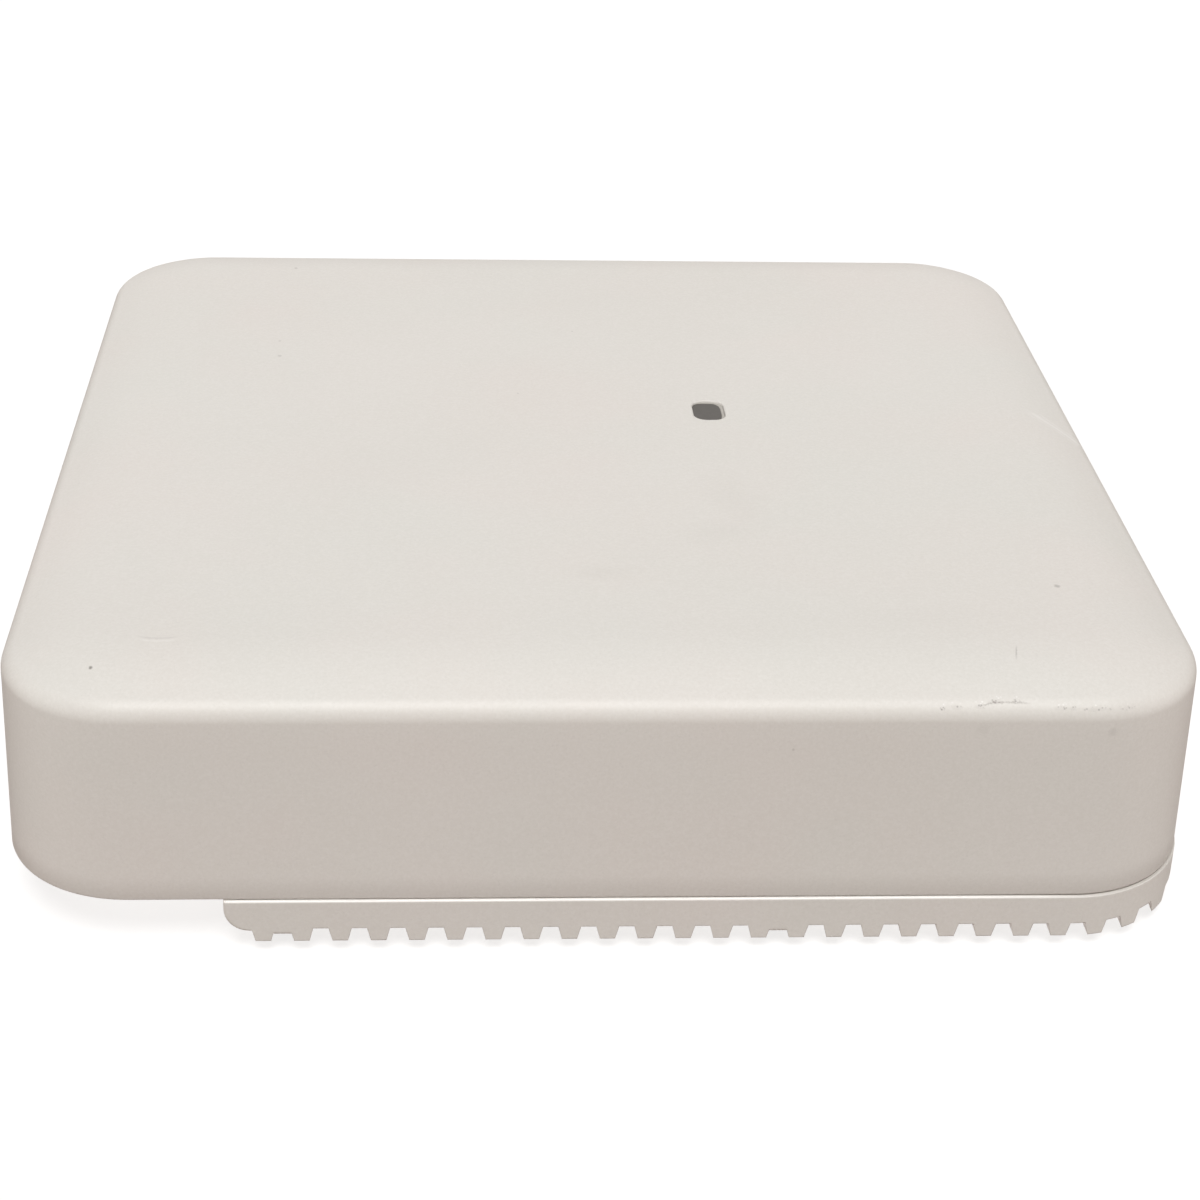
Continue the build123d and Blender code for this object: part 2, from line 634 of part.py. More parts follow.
with BuildPart() as power_jack_pin:
    with BuildSketch(Plane.YZ.offset(power_front + 0.8)):
        with Locations((power_y, power_z)):
            Circle(1.05)
    extrude(amount=8.8)
    fillet(power_jack_pin.edges().sort_by(Axis.X)[0], 0.5)
    with BuildSketch(Plane.YZ.offset(power_front + 9.6)):
        with Locations((power_y, power_z)):
            Circle(0.85)
    extrude(amount=5.2)
power_jack_pin.part.label = "power_jack_pin"
export_step(power_jack_pin.part, "parts/power_jack_pin.step")

# ---------------------------------------------------------------- mode button and its switch
switch_front = recess_x + panel_t + 0.5
with BuildPart() as mode_switch_body:
    with BuildSketch(Plane.YZ.offset(switch_front)):
        with Locations((button_y, button_z)):
            Rectangle(6.4, 6.4)
        with Locations((button_y, (button_z + 3.2 + board_z) / 2)):
            Rectangle(6.4, board_z - button_z - 3.2)
    extrude(amount=6.0)
    with BuildSketch(Plane.YZ.offset(switch_front)):
        with Locations((button_y, button_z)):
            Circle(1.7)
    extrude(amount=1.0, mode=Mode.SUBTRACT)
    with BuildSketch(Plane.YZ.offset(switch_front + 0.8)):
        with Locations((button_y, button_z)):
            Circle(2.6)
    extrude(amount=3.0, mode=Mode.SUBTRACT)
mode_switch_body.part.label = "mode_switch_body"
export_step(mode_switch_body.part, "parts/mode_switch_body.step")

with BuildPart() as mode_button:
    with BuildSketch(Plane.YZ.offset(recess_x + 0.5)):
        with Locations((button_y, button_z)):
            Circle(1.6)
    extrude(amount=switch_front + 0.9 - recess_x - 0.5)
    fillet(mode_button.edges().sort_by(Axis.X)[0], 0.35)
    with BuildSketch(Plane.YZ.offset(switch_front + 0.85)):
        with Locations((button_y, button_z)):
            Circle(2.4)
    extrude(amount=0.8)
    with BuildSketch(Plane.YZ.offset(switch_front + 1.65)):
        with Locations((button_y, button_z)):
            Circle(1.0)
    extrude(amount=0.6)
mode_button.part.label = "mode_button"
export_step(mode_button.part, "parts/mode_button.step")

dome_x = switch_front + 3.8
with BuildPart() as mode_switch_dome:
    with BuildSketch(Plane.XZ.offset(-button_y)):
        with BuildLine():
            Polyline((dome_x, button_z + 2.5), (dome_x - 1.25, button_z + 1.3),
                     (dome_x - 1.5, button_z), (dome_x - 1.38, button_z),
                     (dome_x - 1.16, button_z + 1.2), (dome_x, button_z + 2.3), close=True)
        make_face()
    revolve(axis=Axis((0, button_y, button_z), (1, 0, 0)))
mode_switch_dome.part.label = "mode_switch_dome"
export_step(mode_switch_dome.part, "parts/mode_switch_dome.step")


# ---------------------------------------------------------------- parts on top of the board
# A block standing on the board, its upper edges eased.
def standing_block(w, d, h, ease):
    with BuildPart() as block:
        Box(w, d, h, align=(Align.CENTER, Align.CENTER, Align.MIN))
        chamfer(block.faces().sort_by(Axis.Z)[-1].edges(), ease)
    return block.part


magnetics_block = standing_block(9, 15, 4.0, 0.3)
with BuildPart() as ethernet_transformers:
    for y in network_y[:2]:
        add(Pos(-55, y, board_top) * magnetics_block)
ethernet_transformers.part.label = "ethernet_transformers"
export_step(ethernet_transformers.part, "parts/ethernet_transformers.step")

with BuildPart() as power_transformer:
    with Locations((*transformer_at, board_top)):
        Box(20, 17, 1.2, align=(Align.CENTER, Align.CENTER, Align.MIN))
    with Locations((*transformer_at, board_top + 1.2)):
        Box(17, 9, 5.4, align=(Align.CENTER, Align.CENTER, Align.MIN))
    with Locations((*transformer_at, board_top + 3.9)):
        Cylinder(6.6, 5.0)
power_transformer.part.label = "power_transformer"
export_step(power_transformer.part, "parts/power_transformer.step")

inductor_block = standing_block(10, 10, 4.4, 1.2)
with BuildPart() as power_inductors:
    for x, y in inductors_at:
        add(Pos(x, y, board_top) * inductor_block)
power_inductors.part.label = "power_inductors"
export_step(power_inductors.part, "parts/power_inductors.step")

with BuildPart() as capacitor_can:
    Cylinder(3.1, 6.2, align=(Align.CENTER, Align.CENTER, Align.MIN))
    fillet(capacitor_can.edges().group_by(Axis.Z)[-1], 0.4)
with BuildPart() as power_capacitors:
    for x, y in capacitors_at:
        add(Pos(x, y, board_top) * capacitor_can.part)
power_capacitors.part.label = "power_capacitors"
export_step(power_capacitors.part, "parts/power_capacitors.step")

led_block = standing_block(3.0, 2.8, 1.4, 0.2)
with BuildPart() as status_led:
    add(Pos(led_at[0], led_at[1], board_top) * led_block)
status_led.part.label = "status_led"
export_step(status_led.part, "parts/status_led.step")

lens_z = top_z - 0.5
with BuildPart() as status_light_pipe:
    with BuildSketch(Plane.XY.offset(top_z - wall_t - 1.3)):
        with Locations(led_at):
            RectangleRounded(window_w + 4, window_d + 4, window_r + 2)
    extrude(amount=1.25)
    with BuildSketch(Plane.XY.offset(top_z - wall_t - 0.1)):
        with Locations(led_at):
            RectangleRounded(window_w - 0.1, window_d - 0.1, window_r - 0.05)
    extrude(amount=lens_z - top_z + wall_t + 0.1)
    with BuildSketch(Plane.XY.offset(25.0)) as pipe_foot:
        with Locations(led_at):
            Circle(2.4)
    with BuildSketch(Plane.XY.offset(top_z - wall_t - 1.3)) as pipe_head:
        with Locations(led_at):
            Circle(3.6)
    loft(sections=[pipe_foot.sketch, pipe_head.sketch])
status_light_pipe.part.label = "status_light_pipe"
export_step(status_light_pipe.part, "parts/status_light_pipe.step")

# ---------------------------------------------------------------- antenna deck
with BuildPart() as antenna_standoffs:
    with BuildSketch(Plane.XY.offset(board_top)):
        with Locations(*standoffs_at):
            RegularPolygon(2.9, 6)
            Circle(1.25, mode=Mode.SUBTRACT)
    extrude(amount=plate_z - board_top)
    with BuildSketch(Plane.XY.offset(board_top - 6)):
        with Locations(*standoffs_at):
            Circle(1.25)
    extrude(amount=7.5)
antenna_standoffs.part.label = "antenna_standoffs"
export_step(antenna_standoffs.part, "parts/antenna_standoffs.step")

macro_size = 38.0
macro_h = 12.0
micro_size = 25.0
micro_h = 9.0


# Feed points: the cable comes up through the deck here, outside each radiator.
def feed_x(at, size):
    return at[0] - size / 2 - 3.5


feeds = [(feed_x(p, macro_size), p[1]) for p in macro_at]
feeds = feeds + [(feed_x(p, micro_size), p[1]) for p in micro_at]

with BuildPart() as antenna_plate:
    with BuildSketch(Plane.XY.offset(plate_z)):
        with Locations((board_x + 1, 0)):
            RectangleRounded(162, 190, 12)
        with Locations(*standoffs_at):
            Circle(1.4, mode=Mode.SUBTRACT)
        with Locations(led_at):
            Circle(4.2, mode=Mode.SUBTRACT)
        with Locations(*feeds):
            Circle(2.0, mode=Mode.SUBTRACT)
        with Locations(*board_posts_at):
            Circle(4.0, mode=Mode.SUBTRACT)
    extrude(amount=plate_t)
antenna_plate.part.label = "antenna_plate"
export_step(antenna_plate.part, "parts/antenna_plate.step")

with BuildPart() as plate_screws:
    for x, y in standoffs_at:
        add(Pos(x, y, plate_top) * plate_screw)
plate_screws.part.label = "plate_screws"
export_step(plate_screws.part, "parts/plate_screws.step")


# One bent sheet radiator: raised square with a notch, a shorting leg with a
# foot on the deck at the far edge, and a feed tab hanging at the near edge.
def radiator(size, height):
    t = 0.5
    with BuildPart() as sheet:
        with BuildSketch(Plane.XY.offset(height)):
            RectangleRounded(size, size, 2)
            with Locations((0, size / 4)):
                Rectangle(size * 0.5, 2.0, mode=Mode.SUBTRACT)
            with Locations((size * 0.25, 0)):
                Rectangle(2.0, size * 0.42, mode=Mode.SUBTRACT)
        extrude(amount=t)
        with Locations((size / 2 - t / 2, 0, 0)):
            Box(t, 8, height + t, align=(Align.CENTER, Align.CENTER, Align.MIN))
        with Locations((size / 2 + 2.5, 0, 0)):
            Box(6, 8, t, align=(Align.CENTER, Align.CENTER, Align.MIN))
        with Locations((-size / 2 + t / 2, 0, 3.0)):
            Box(t, 4, height - 3.0 + t, align=(Align.CENTER, Align.CENTER, Align.MIN))
    return sheet.part


macro_sheet = radiator(macro_size, macro_h)
micro_sheet = radiator(micro_size, micro_h)

with BuildPart() as macro_antennas:
    for x, y in macro_at:
        add(Pos(x, y, plate_top) * macro_sheet)
macro_antennas.part.label = "macro_antennas"
export_step(macro_antennas.part, "parts/macro_antennas.step")

with BuildPart() as micro_antennas:
    for x, y in micro_at:
        add(Pos(x, y, plate_top) * micro_sheet)
micro_antennas.part.label = "micro_antennas"
export_step(micro_antennas.part, "parts/micro_antennas.step")

with BuildPart() as antenna_supports:
    with BuildSketch(Plane.XY.offset(plate_top)):
        for x, y in macro_at:
            with Locations((x - 12, y - 12), (x - 12, y + 13), (x + 13, y - 13), (x + 13, y + 14)):
                Circle(2.2)
    extrude(amount=macro_h)
    with BuildSketch(Plane.XY.offset(plate_top)):
        for x, y in micro_at:
            with Locations((x - 8, y - 9), (x + 9, y + 9.5)):
                Circle(1.8)
    extrude(amount=micro_h)
antenna_supports.part.label = "antenna_supports"
export_step(antenna_supports.part, "parts/antenna_supports.step")

with BuildPart() as rf_sockets:
    with BuildSketch(Plane.XY.offset(board_top)):
        with Locations(*feeds):
            Rectangle(3.0, 3.0)
    extrude(amount=0.5)
    with BuildSketch(Plane.XY.offset(board_top + 0.5)):
        with Locations(*feeds):
            Circle(1.0)
    extrude(amount=0.8)
rf_sockets.part.label = "rf_sockets"
export_step(rf_sockets.part, "parts/rf_sockets.step")

# Each cable clips on its socket, rises through the deck and turns to the feed tab.
cable_r = 0.6
with BuildPart() as antenna_cable:
    with BuildLine(Plane.XZ) as cable_path:
        Line((0, board_top + 2.2), (0, plate_top + 2.0))
        ThreePointArc((0, plate_top + 2.0), (2.6 * (1 - sqrt(0.5)), plate_top + 2.0 + 2.6 * sqrt(0.5)),
                      (2.6, plate_top + 4.6))
        Line((2.6, plate_top + 4.6), (3.5, plate_top + 4.6))
    with BuildSketch(Plane.XY.offset(board_top + 2.2)):
        Circle(cable_r)
    sweep(path=cable_path.wires()[0])
    with Locations((0, 0, board_top + 1.3)):
        Cylinder(1.4, 1.2, align=(Align.CENTER, Align.CENTER, Align.MIN))
with BuildPart() as antenna_cables:
    for x, y in feeds:
        add(Pos(x, y, 0) * antenna_cable.part)
antenna_cables.part.label = "antenna_cables"
export_step(antenna_cables.part, "parts/antenna_cables.step")
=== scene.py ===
import json
from math import atan2, cos, pi, radians, sin, tan

import bmesh
import bpy
from mathutils import Matrix, Vector
from mathutils.bvhtree import BVHTree


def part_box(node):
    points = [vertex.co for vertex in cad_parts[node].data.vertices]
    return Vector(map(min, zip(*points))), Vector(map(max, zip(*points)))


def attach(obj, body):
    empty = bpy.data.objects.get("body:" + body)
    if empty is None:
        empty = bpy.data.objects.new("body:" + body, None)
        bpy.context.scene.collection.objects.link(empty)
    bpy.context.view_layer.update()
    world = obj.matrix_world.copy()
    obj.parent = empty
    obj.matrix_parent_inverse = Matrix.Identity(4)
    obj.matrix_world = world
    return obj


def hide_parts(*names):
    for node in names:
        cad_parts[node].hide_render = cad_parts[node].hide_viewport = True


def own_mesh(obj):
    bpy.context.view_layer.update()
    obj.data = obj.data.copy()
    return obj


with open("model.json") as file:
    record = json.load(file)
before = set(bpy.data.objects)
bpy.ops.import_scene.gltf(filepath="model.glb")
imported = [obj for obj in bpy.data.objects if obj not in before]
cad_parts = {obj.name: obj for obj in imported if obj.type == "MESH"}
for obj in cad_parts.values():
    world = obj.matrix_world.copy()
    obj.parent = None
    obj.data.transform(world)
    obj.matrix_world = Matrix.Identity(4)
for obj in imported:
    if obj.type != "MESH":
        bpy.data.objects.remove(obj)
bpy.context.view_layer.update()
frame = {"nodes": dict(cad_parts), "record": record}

nodes = frame["nodes"]
MM = 0.001

# ------------------------------------------------------------ cover dimensions, in mm and radians
lo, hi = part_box("top_cover")
COVER_W = (hi.x - lo.x) / MM
COVER_D = (hi.y - lo.y) / MM
RIM_Z = lo.z / MM
TOP_Z = hi.z / MM
CORNER_R = 24.0             # corners in plan
WALL_T = 2.5
DRAFT = radians(1.1)        # the walls lean in by this much
EDGE_R = 4.4                # between wall and shoulder
CROWN_A = radians(22.0)     # slope of the shoulder
CROWN_R = 36.0              # roll from the shoulder into the flat face
CROWN_W = 19.2              # from the rim to the start of the flat face, in plan
LED = (27.6, 7.6)           # middle of the window
WINDOW = (6.8, 9.8, 2.7)    # its width, depth and corner radius
WINDOW_ROLL = 0.35          # rounding of its edge
POSTS = [(-58.5, -103.4), (-58.5, 103.4), (31.8, -103.4), (31.8, 103.4), (103.2, -58), (103.2, 58)]
POST_LOW, POST_HIGH = 14.5, 50.2
POST_R, POST_HOLE_R, POST_HOLE_DEPTH = 3.4, 1.5, 12
POST_CHAMFER = 0.3
SIDE_POST_Y = 80            # posts beyond this stand by the front or back wall
WALL_STEPS, ARC_STEPS, SLOPE_STEPS = 8, 16, 4

# ------------------------------------------------------------ other dimensions, in mm
DOME_SHEET = 0.12
CHIP_LONG, CHIP_SHORT = 0.55, 0.38              # half sizes of a small ceramic part
TERMINAL_LONG, TERMINAL_SHORT = 0.40, 0.15      # half sizes of the metal at its ends
TERMINAL_OUT = 0.68                             # middle of the metal from the part's middle
CAPACITOR_TALL, RESISTOR_TALL = 0.75, 0.42
DECK_UNDERSIDE = 30.5                           # small parts have to be clear up to here
FLOOR_HALF, FLOOR_Z = 4.0, -0.0003              # in metres


# ------------------------------------------------------------ mesh helpers
class Shape:
    """Collects points in millimetres and faces, then makes one object in metres."""

    def __init__(self):
        self.verts, self.faces = [], []

    def loop(self, points):
        start = len(self.verts)
        self.verts.extend(points)
        return list(range(start, len(self.verts)))

    def bridge(self, a, b, flip=False):
        n = len(a)
        for i in range(n):
            j = (i + 1) % n
            quad = (a[i], a[j], b[j], b[i])
            self.faces.append(quad[::-1] if flip else quad)

    def fill(self, outer, inner=None, up=True):
        """Flat fill of a loop, with an optional hole."""
        bm = bmesh.new()
        rings = [outer] + ([inner] if inner else [])
        back = {}
        for ring in rings:
            vs = [bm.verts.new(self.verts[i]) for i in ring]
            for v, i in zip(vs, ring):
                back[v] = i
            for i in range(len(vs)):
                bm.edges.new((vs[i], vs[(i + 1) % len(vs)]))
        bmesh.ops.triangle_fill(bm, use_beauty=True, edges=bm.edges[:])
        for f in bm.faces:
            f.normal_update()
            ids = [back[v] for v in f.verts]
            self.faces.append(ids if (f.normal.z > 0) == up else ids[::-1])
        bm.free()

    def make(self, name, material, smooth=True):
        mesh = bpy.data.meshes.new(name)
        mesh.from_pydata([(x * MM, y * MM, z * MM) for x, y, z in self.verts], [], self.faces)
        mesh.materials.append(material)
        for p in mesh.polygons:
            p.use_smooth = smooth
        o = bpy.data.objects.new(name, mesh)
        bpy.context.scene.collection.objects.link(o)
        return o


def rounded(cx, cy, half_x, half_y, r, z, arc=16, side=10):
    """Points of a rounded rectangle, counter-clockwise from the +X side."""
    pts = []
    corners = [(half_x - r, half_y - r), (-half_x + r, half_y - r),
               (-half_x + r, -half_y + r), (half_x - r, -half_y + r)]
    for k, (x, y) in enumerate(corners):
        for i in range(arc + 1):
            a = pi / 2 * (k + i / arc)
            pts.append((cx + x + r * cos(a), cy + y + r * sin(a), z))
        x2, y2 = corners[(k + 1) % 4]
        a = pi / 2 * (k + 1)
        for i in range(1, side):
            f = i / side
            pts.append((cx + x + (x2 - x) * f + r * cos(a), cy + y + (y2 - y) * f + r * sin(a), z))
    return pts


# ------------------------------------------------------------ material helpers
class Mat:
    """A node material with short ways to add what a worn moulded or cast surface needs."""

    def __init__(self, name, base, rough=0.5, metal=0.0, **inputs):
        self.m = bpy.data.materials.new(name)
        self.m.use_nodes = True
        self.t = self.m.node_tree
        self.bsdf = self.t.nodes["Principled BSDF"]
        self.bsdf.inputs["Roughness"].default_value = rough
        self.bsdf.inputs["Metallic"].default_value = metal
        for k, v in inputs.items():
            self.bsdf.inputs[k.replace("_", " ")].default_value = v
        self.coord = self.node("ShaderNodeTexCoord").outputs["Object"]
        self.color = self.rgb(base)
        self.height = None
        self.rough = self.value(rough)

    def node(self, kind, **props):
        n = self.t.nodes.new(kind)
        for k, v in props.items():
            setattr(n, k, v)
        return n

    def link(self, a, b):
        self.t.links.new(a, b)

    def put(self, socket, v):
        if hasattr(v, "is_output"):
            self.link(v, socket)
        else:
            socket.default_value = v

    def rgb(self, c):
        n = self.node("ShaderNodeRGB")
        n.outputs[0].default_value = (*c, 1)
        return n.outputs[0]

    def value(self, v):
        n = self.node("ShaderNodeValue")
        n.outputs[0].default_value = v
        return n.outputs[0]

    def math(self, op, a, b=None, c=None, clamp=False):
        n = self.node("ShaderNodeMath", operation=op, use_clamp=clamp)
        self.put(n.inputs[0], a)
        if b is not None:
            self.put(n.inputs[1], b)
        if c is not None:
            self.put(n.inputs[2], c)
        return n.outputs[0]

    def times(self, a, b):
        return self.math("MULTIPLY", a, b)

    def minus(self, a, b):
        return self.math("SUBTRACT", a, b)

    def size(self, a):
        return self.math("ABSOLUTE", a)

    def mapped(self, loc=(0, 0, 0), rot=(0, 0, 0), scale=(1, 1, 1), kind="POINT"):
        n = self.node("ShaderNodeMapping", vector_type=kind)
        self.link(self.coord, n.inputs["Vector"])
        n.inputs["Location"].default_value = loc
        n.inputs["Rotation"].default_value = rot
        n.inputs["Scale"].default_value = scale
        return n.outputs[0]

    def noise(self, scale, detail=2.0, rough=0.5, vector=None, distortion=0.0):
        n = self.node("ShaderNodeTexNoise")
        self.link(vector or self.coord, n.inputs["Vector"])
        n.inputs["Scale"].default_value = scale
        n.inputs["Detail"].default_value = detail
        n.inputs["Roughness"].default_value = rough
        n.inputs["Distortion"].default_value = distortion
        return n.outputs["Fac"]

    def voronoi(self, scale, vector=None, out="Distance"):
        n = self.node("ShaderNodeTexVoronoi", feature="F1")
        self.link(vector or self.coord, n.inputs["Vector"])
        n.inputs["Scale"].default_value = scale
        return n.outputs[out]

    def ramp(self, fac, a, b, low=0.0, high=1.0):
        n = self.node("ShaderNodeMapRange", clamp=True)
        self.link(fac, n.inputs["Value"])
        n.inputs["From Min"].default_value = a
        n.inputs["From Max"].default_value = b
        n.inputs["To Min"].default_value = low
        n.inputs["To Max"].default_value = high
        return n.outputs["Result"]

    def fade(self, fac, a, b):
        """1 below a, 0 above b"""
        return self.ramp(fac, a, b, 1.0, 0.0)

    def band(self, fac, a, b, c, d):
        """Rises from 0 to 1 between a and b, and falls back to 0 between c and d."""
        return self.times(self.ramp(fac, a, b), self.fade(fac, c, d))

    def tint(self, mask, colour, amount=None):
        if amount is not None:
            mask = self.times(mask, amount)
        n = self.node("ShaderNodeMix", data_type="RGBA", blend_type="MIX")
        self.put(n.inputs["Factor"], mask)
        self.link(self.color, n.inputs["A"])
        n.inputs["B"].default_value = (*colour, 1)
        self.color = n.outputs["Result"]

    def add_rough(self, mask, amount):
        self.rough = self.math("MULTIPLY_ADD", mask, amount, self.rough, clamp=True)

    def add_height(self, mask, amount):
        """amount in millimetres"""
        h = self.times(mask, amount * MM)
        self.height = h if self.height is None else self.math("ADD", self.height, h)

    def xyz(self):
        n = self.node("ShaderNodeSeparateXYZ")
        self.link(self.coord, n.inputs[0])
        return n.outputs

    def spot(self, centre, half, angle=0.0, soft=0.4, wobble=0.0, scale=300.0):
        """Mask of an oval patch in plan: centre and half sizes in mm, noise-broken edge."""
        v = self.mapped(loc=tuple(c * MM for c in centre), rot=(0, 0, angle),
                        scale=tuple(h * MM for h in half), kind="TEXTURE")
        n = self.node("ShaderNodeVectorMath", operation="LENGTH")
        self.link(v, n.inputs[0])
        d = n.outputs["Value"]
        if wobble:
            w = self.noise(scale, 3.0, 0.6)
            d = self.math("MULTIPLY_ADD", w, wobble, self.minus(d, wobble * 0.5))
        return self.fade(d, 1.0 - soft, 1.0)

    def done(self, edge=0.0):
        """edge: radius in mm of the softened edges"""
        self.link(self.color, self.bsdf.inputs["Base Color"])
        self.link(self.rough, self.bsdf.inputs["Roughness"])
        b = self.node("ShaderNodeBump")
        b.inputs["Strength"].default_value = 1.0
        b.inputs["Distance"].default_value = 1.0
        self.link(self.height if self.height is not None else self.value(0.0), b.inputs["Height"])
        if edge:
            soft = self.node("ShaderNodeBevel", samples=4)
            soft.inputs["Radius"].default_value = edge * MM
            self.link(soft.outputs[0], b.inputs["Normal"])
        self.link(b.outputs["Normal"], self.bsdf.inputs["Normal"])
        return self.m


PAINT = (0.765, 0.738, 0.698)


def skin(m, wide=9.0):
    """Moulded, painted skin: slow drift of colour, fine mottle, grain and uneven sheen."""
    m.tint(m.ramp(m.noise(wide, 3, 0.55), 0.35, 0.7, 0.0, 0.8), (0.735, 0.712, 0.668))
    warm = m.noise(26, 2, 0.5, vector=m.mapped(loc=(0.3, 0.1, 0.7)))
    m.tint(m.ramp(warm, 0.42, 0.66, 0.0, 0.35), (0.775, 0.715, 0.675))
    cool = m.noise(21, 2, 0.5, vector=m.mapped(loc=(0.9, 0.4, 0.2)))
    m.tint(m.ramp(cool, 0.45, 0.66, 0.0, 0.35), (0.735, 0.735, 0.69))
    m.tint(m.ramp(m.noise(1500, 2, 0.6), 0.40, 0.72, 0.0, 0.28), (0.86, 0.84, 0.81))
    dark = m.noise(2300, 2, 0.6, vector=m.mapped(loc=(2, 1, 3)))
    m.tint(m.ramp(dark, 0.55, 0.75, 0.0, 0.20), (0.60, 0.58, 0.545))
    m.add_height(m.noise(1700, 2, 0.55), 0.014)
    m.add_height(m.noise(5200, 1, 0.5), 0.004)
    m.add_rough(m.noise(60, 3, 0.6), 0.10)


def smudges_and_specks(m):
    """Handling smudges, most of them right of the middle, and small dark specks."""
    # each smudge: middle, half sizes, turn, strength
    smudges = [((29, -36, 55), (7, 18, 9), 0.2, 0.130), ((24, -50, 55), (10, 6, 9), 0.5, 0.156),
               ((1, -67, 55), (9, 4, 9), 0.0, 0.156), ((-40, -20, 55), (30, 16, 9), 0.6, 0.065),
               ((60, -84, 55), (20, 6, 9), 0.1, 0.065), ((-5, 70, 55), (34, 10, 9), 0.2, 0.065)]
    for c, h, a, k in smudges:
        s = m.spot(c, h, a, soft=0.9, wobble=0.9, scale=180)
        m.tint(s, (0.60, 0.575, 0.53), k)
        m.add_rough(s, -0.06)
    # each speck: middle, radius, strength
    specks = [((-65.6, 90.5, 55), 0.5, 0.35), ((-66.8, 44.6, 55), 0.45, 0.2),
              ((-66.3, 36, 55), 0.6, 0.25), ((-13.4, 16, 55), 0.3, 0.25),
              ((0.1, 51.4, 55), 0.3, 0.25), ((86, -72.3, 55), 0.7, 0.4),
              ((-91.2, -99.9, 53.6), 0.42, 0.75), ((32.1, -109.4, 42.3), 0.35, 0.22),
              ((88.9, -109.1, 45.6), 1.1, 0.12), ((65.5, -109.1, 46.3), 1.4, 0.06)]
    for c, r, k in specks:
        deep = 1.0 if c[2] > 50 else r
        s = m.spot(c, (r, r * 1.2, deep), 0.3, soft=0.6, wobble=0.7, scale=2500)
        m.tint(s, (0.20, 0.18, 0.16), k)


def curve_line(m, along, across, points, width, breakup, scale):
    """Thin broken line: across follows a curve of along (both in metres, points in mm)."""
    a0, a1 = points[0][0], points[-1][0]
    room = 0.5
    b0, b1 = min(p[1] for p in points) - room, max(p[1] for p in points) + room
    n = m.node("ShaderNodeFloatCurve")
    m.link(m.ramp(along, a0 * MM, a1 * MM), n.inputs["Value"])
    c = n.mapping.curves[0]
    for i, (a, b) in enumerate(points):
        u, v = (a - a0) / (a1 - a0), (b - b0) / (b1 - b0)
        if i == 0:
            c.points[0].location = (u, v)
        elif i == len(points) - 1:
            c.points[-1].location = (u, v)
        else:
            c.points.new(u, v)
    n.mapping.update()
    target = m.math("MULTIPLY_ADD", n.outputs[0], (b1 - b0) * MM, b0 * MM)
    wob = m.math("MULTIPLY_ADD", m.noise(scale, 3, 0.6), 0.5 * MM, -0.25 * MM)
    d = m.size(m.minus(across, m.math("ADD", target, wob)))
    line = m.fade(d, 0.0, width * MM)
    taper = 1.5
    ends = m.band(along, a0 * MM, (a0 + taper) * MM, (a1 - taper) * MM, a1 * MM)
    gaps = m.ramp(m.noise(scale * 0.6, 2, 0.5), breakup, breakup + 0.12)
    return m.times(m.times(line, ends), gaps)


def chipped_edge(m, x, y, z):
    """Chipped paint along the front right edge: a dark hairline of painted shadow under a chipped
    ridge, clusters of pits, and pale dots of painted highlight on the lips above them.
    """
    front = m.fade(y, -0.103, -0.1015)
    hair = [(64.1, 50.3), (65.6, 50.55), (67.0, 50.82), (74.0, 50.75)]
    hair = m.times(curve_line(m, x, z, hair, 0.15, 0.30, 3400), front)
    # painted shadow: the dark hairline stands in for the shade under a chipped ridge; its shallow
    # groove is real relief
    m.tint(hair, (0.33, 0.29, 0.27), 0.50)
    m.add_height(hair, -0.03)
    pits = m.fade(m.voronoi(1900), 0.24, 0.44)
    # painted highlight: pale dots for the light caught on the lips of the chips
    lip_glint_dots = m.fade(m.voronoi(1500, vector=m.mapped(loc=(0.2, 0.4, 0.1))), 0.20, 0.34)
    # each cluster: middle in x and z, half width, strength
    clusters = [(58.1, 50.1, 0.6, 0.80), (60.5, 50.25, 1.3, 0.60), (64.9, 50.35, 1.3, 0.75),
                (67.7, 50.95, 1.6, 0.80), (71.4, 51.0, 0.8, 0.58), (79.3, 50.1, 1.6, 0.52),
                (81.5, 50.05, 0.6, 0.85), (85.6, 49.95, 3.2, 0.55), (91.5, 49.75, 1.8, 0.36)]
    for cx, cz, wide, k in clusters:
        zone = m.spot((cx, -108, cz), (wide, 2.5, 0.42), soft=0.5, wobble=0.3, scale=1500)
        m.tint(m.times(zone, pits), (0.30, 0.27, 0.25), k)
        m.tint(zone, (0.42, 0.39, 0.37), 0.22 * k)
        # painted highlight along the lip just above each cluster
        lip = m.spot((cx, -107.6, cz + 0.5), (wide, 2.5, 0.35), soft=0.7, wobble=0.4, scale=1500)
        m.tint(m.times(lip, lip_glint_dots), (0.95, 0.93, 0.91), k)


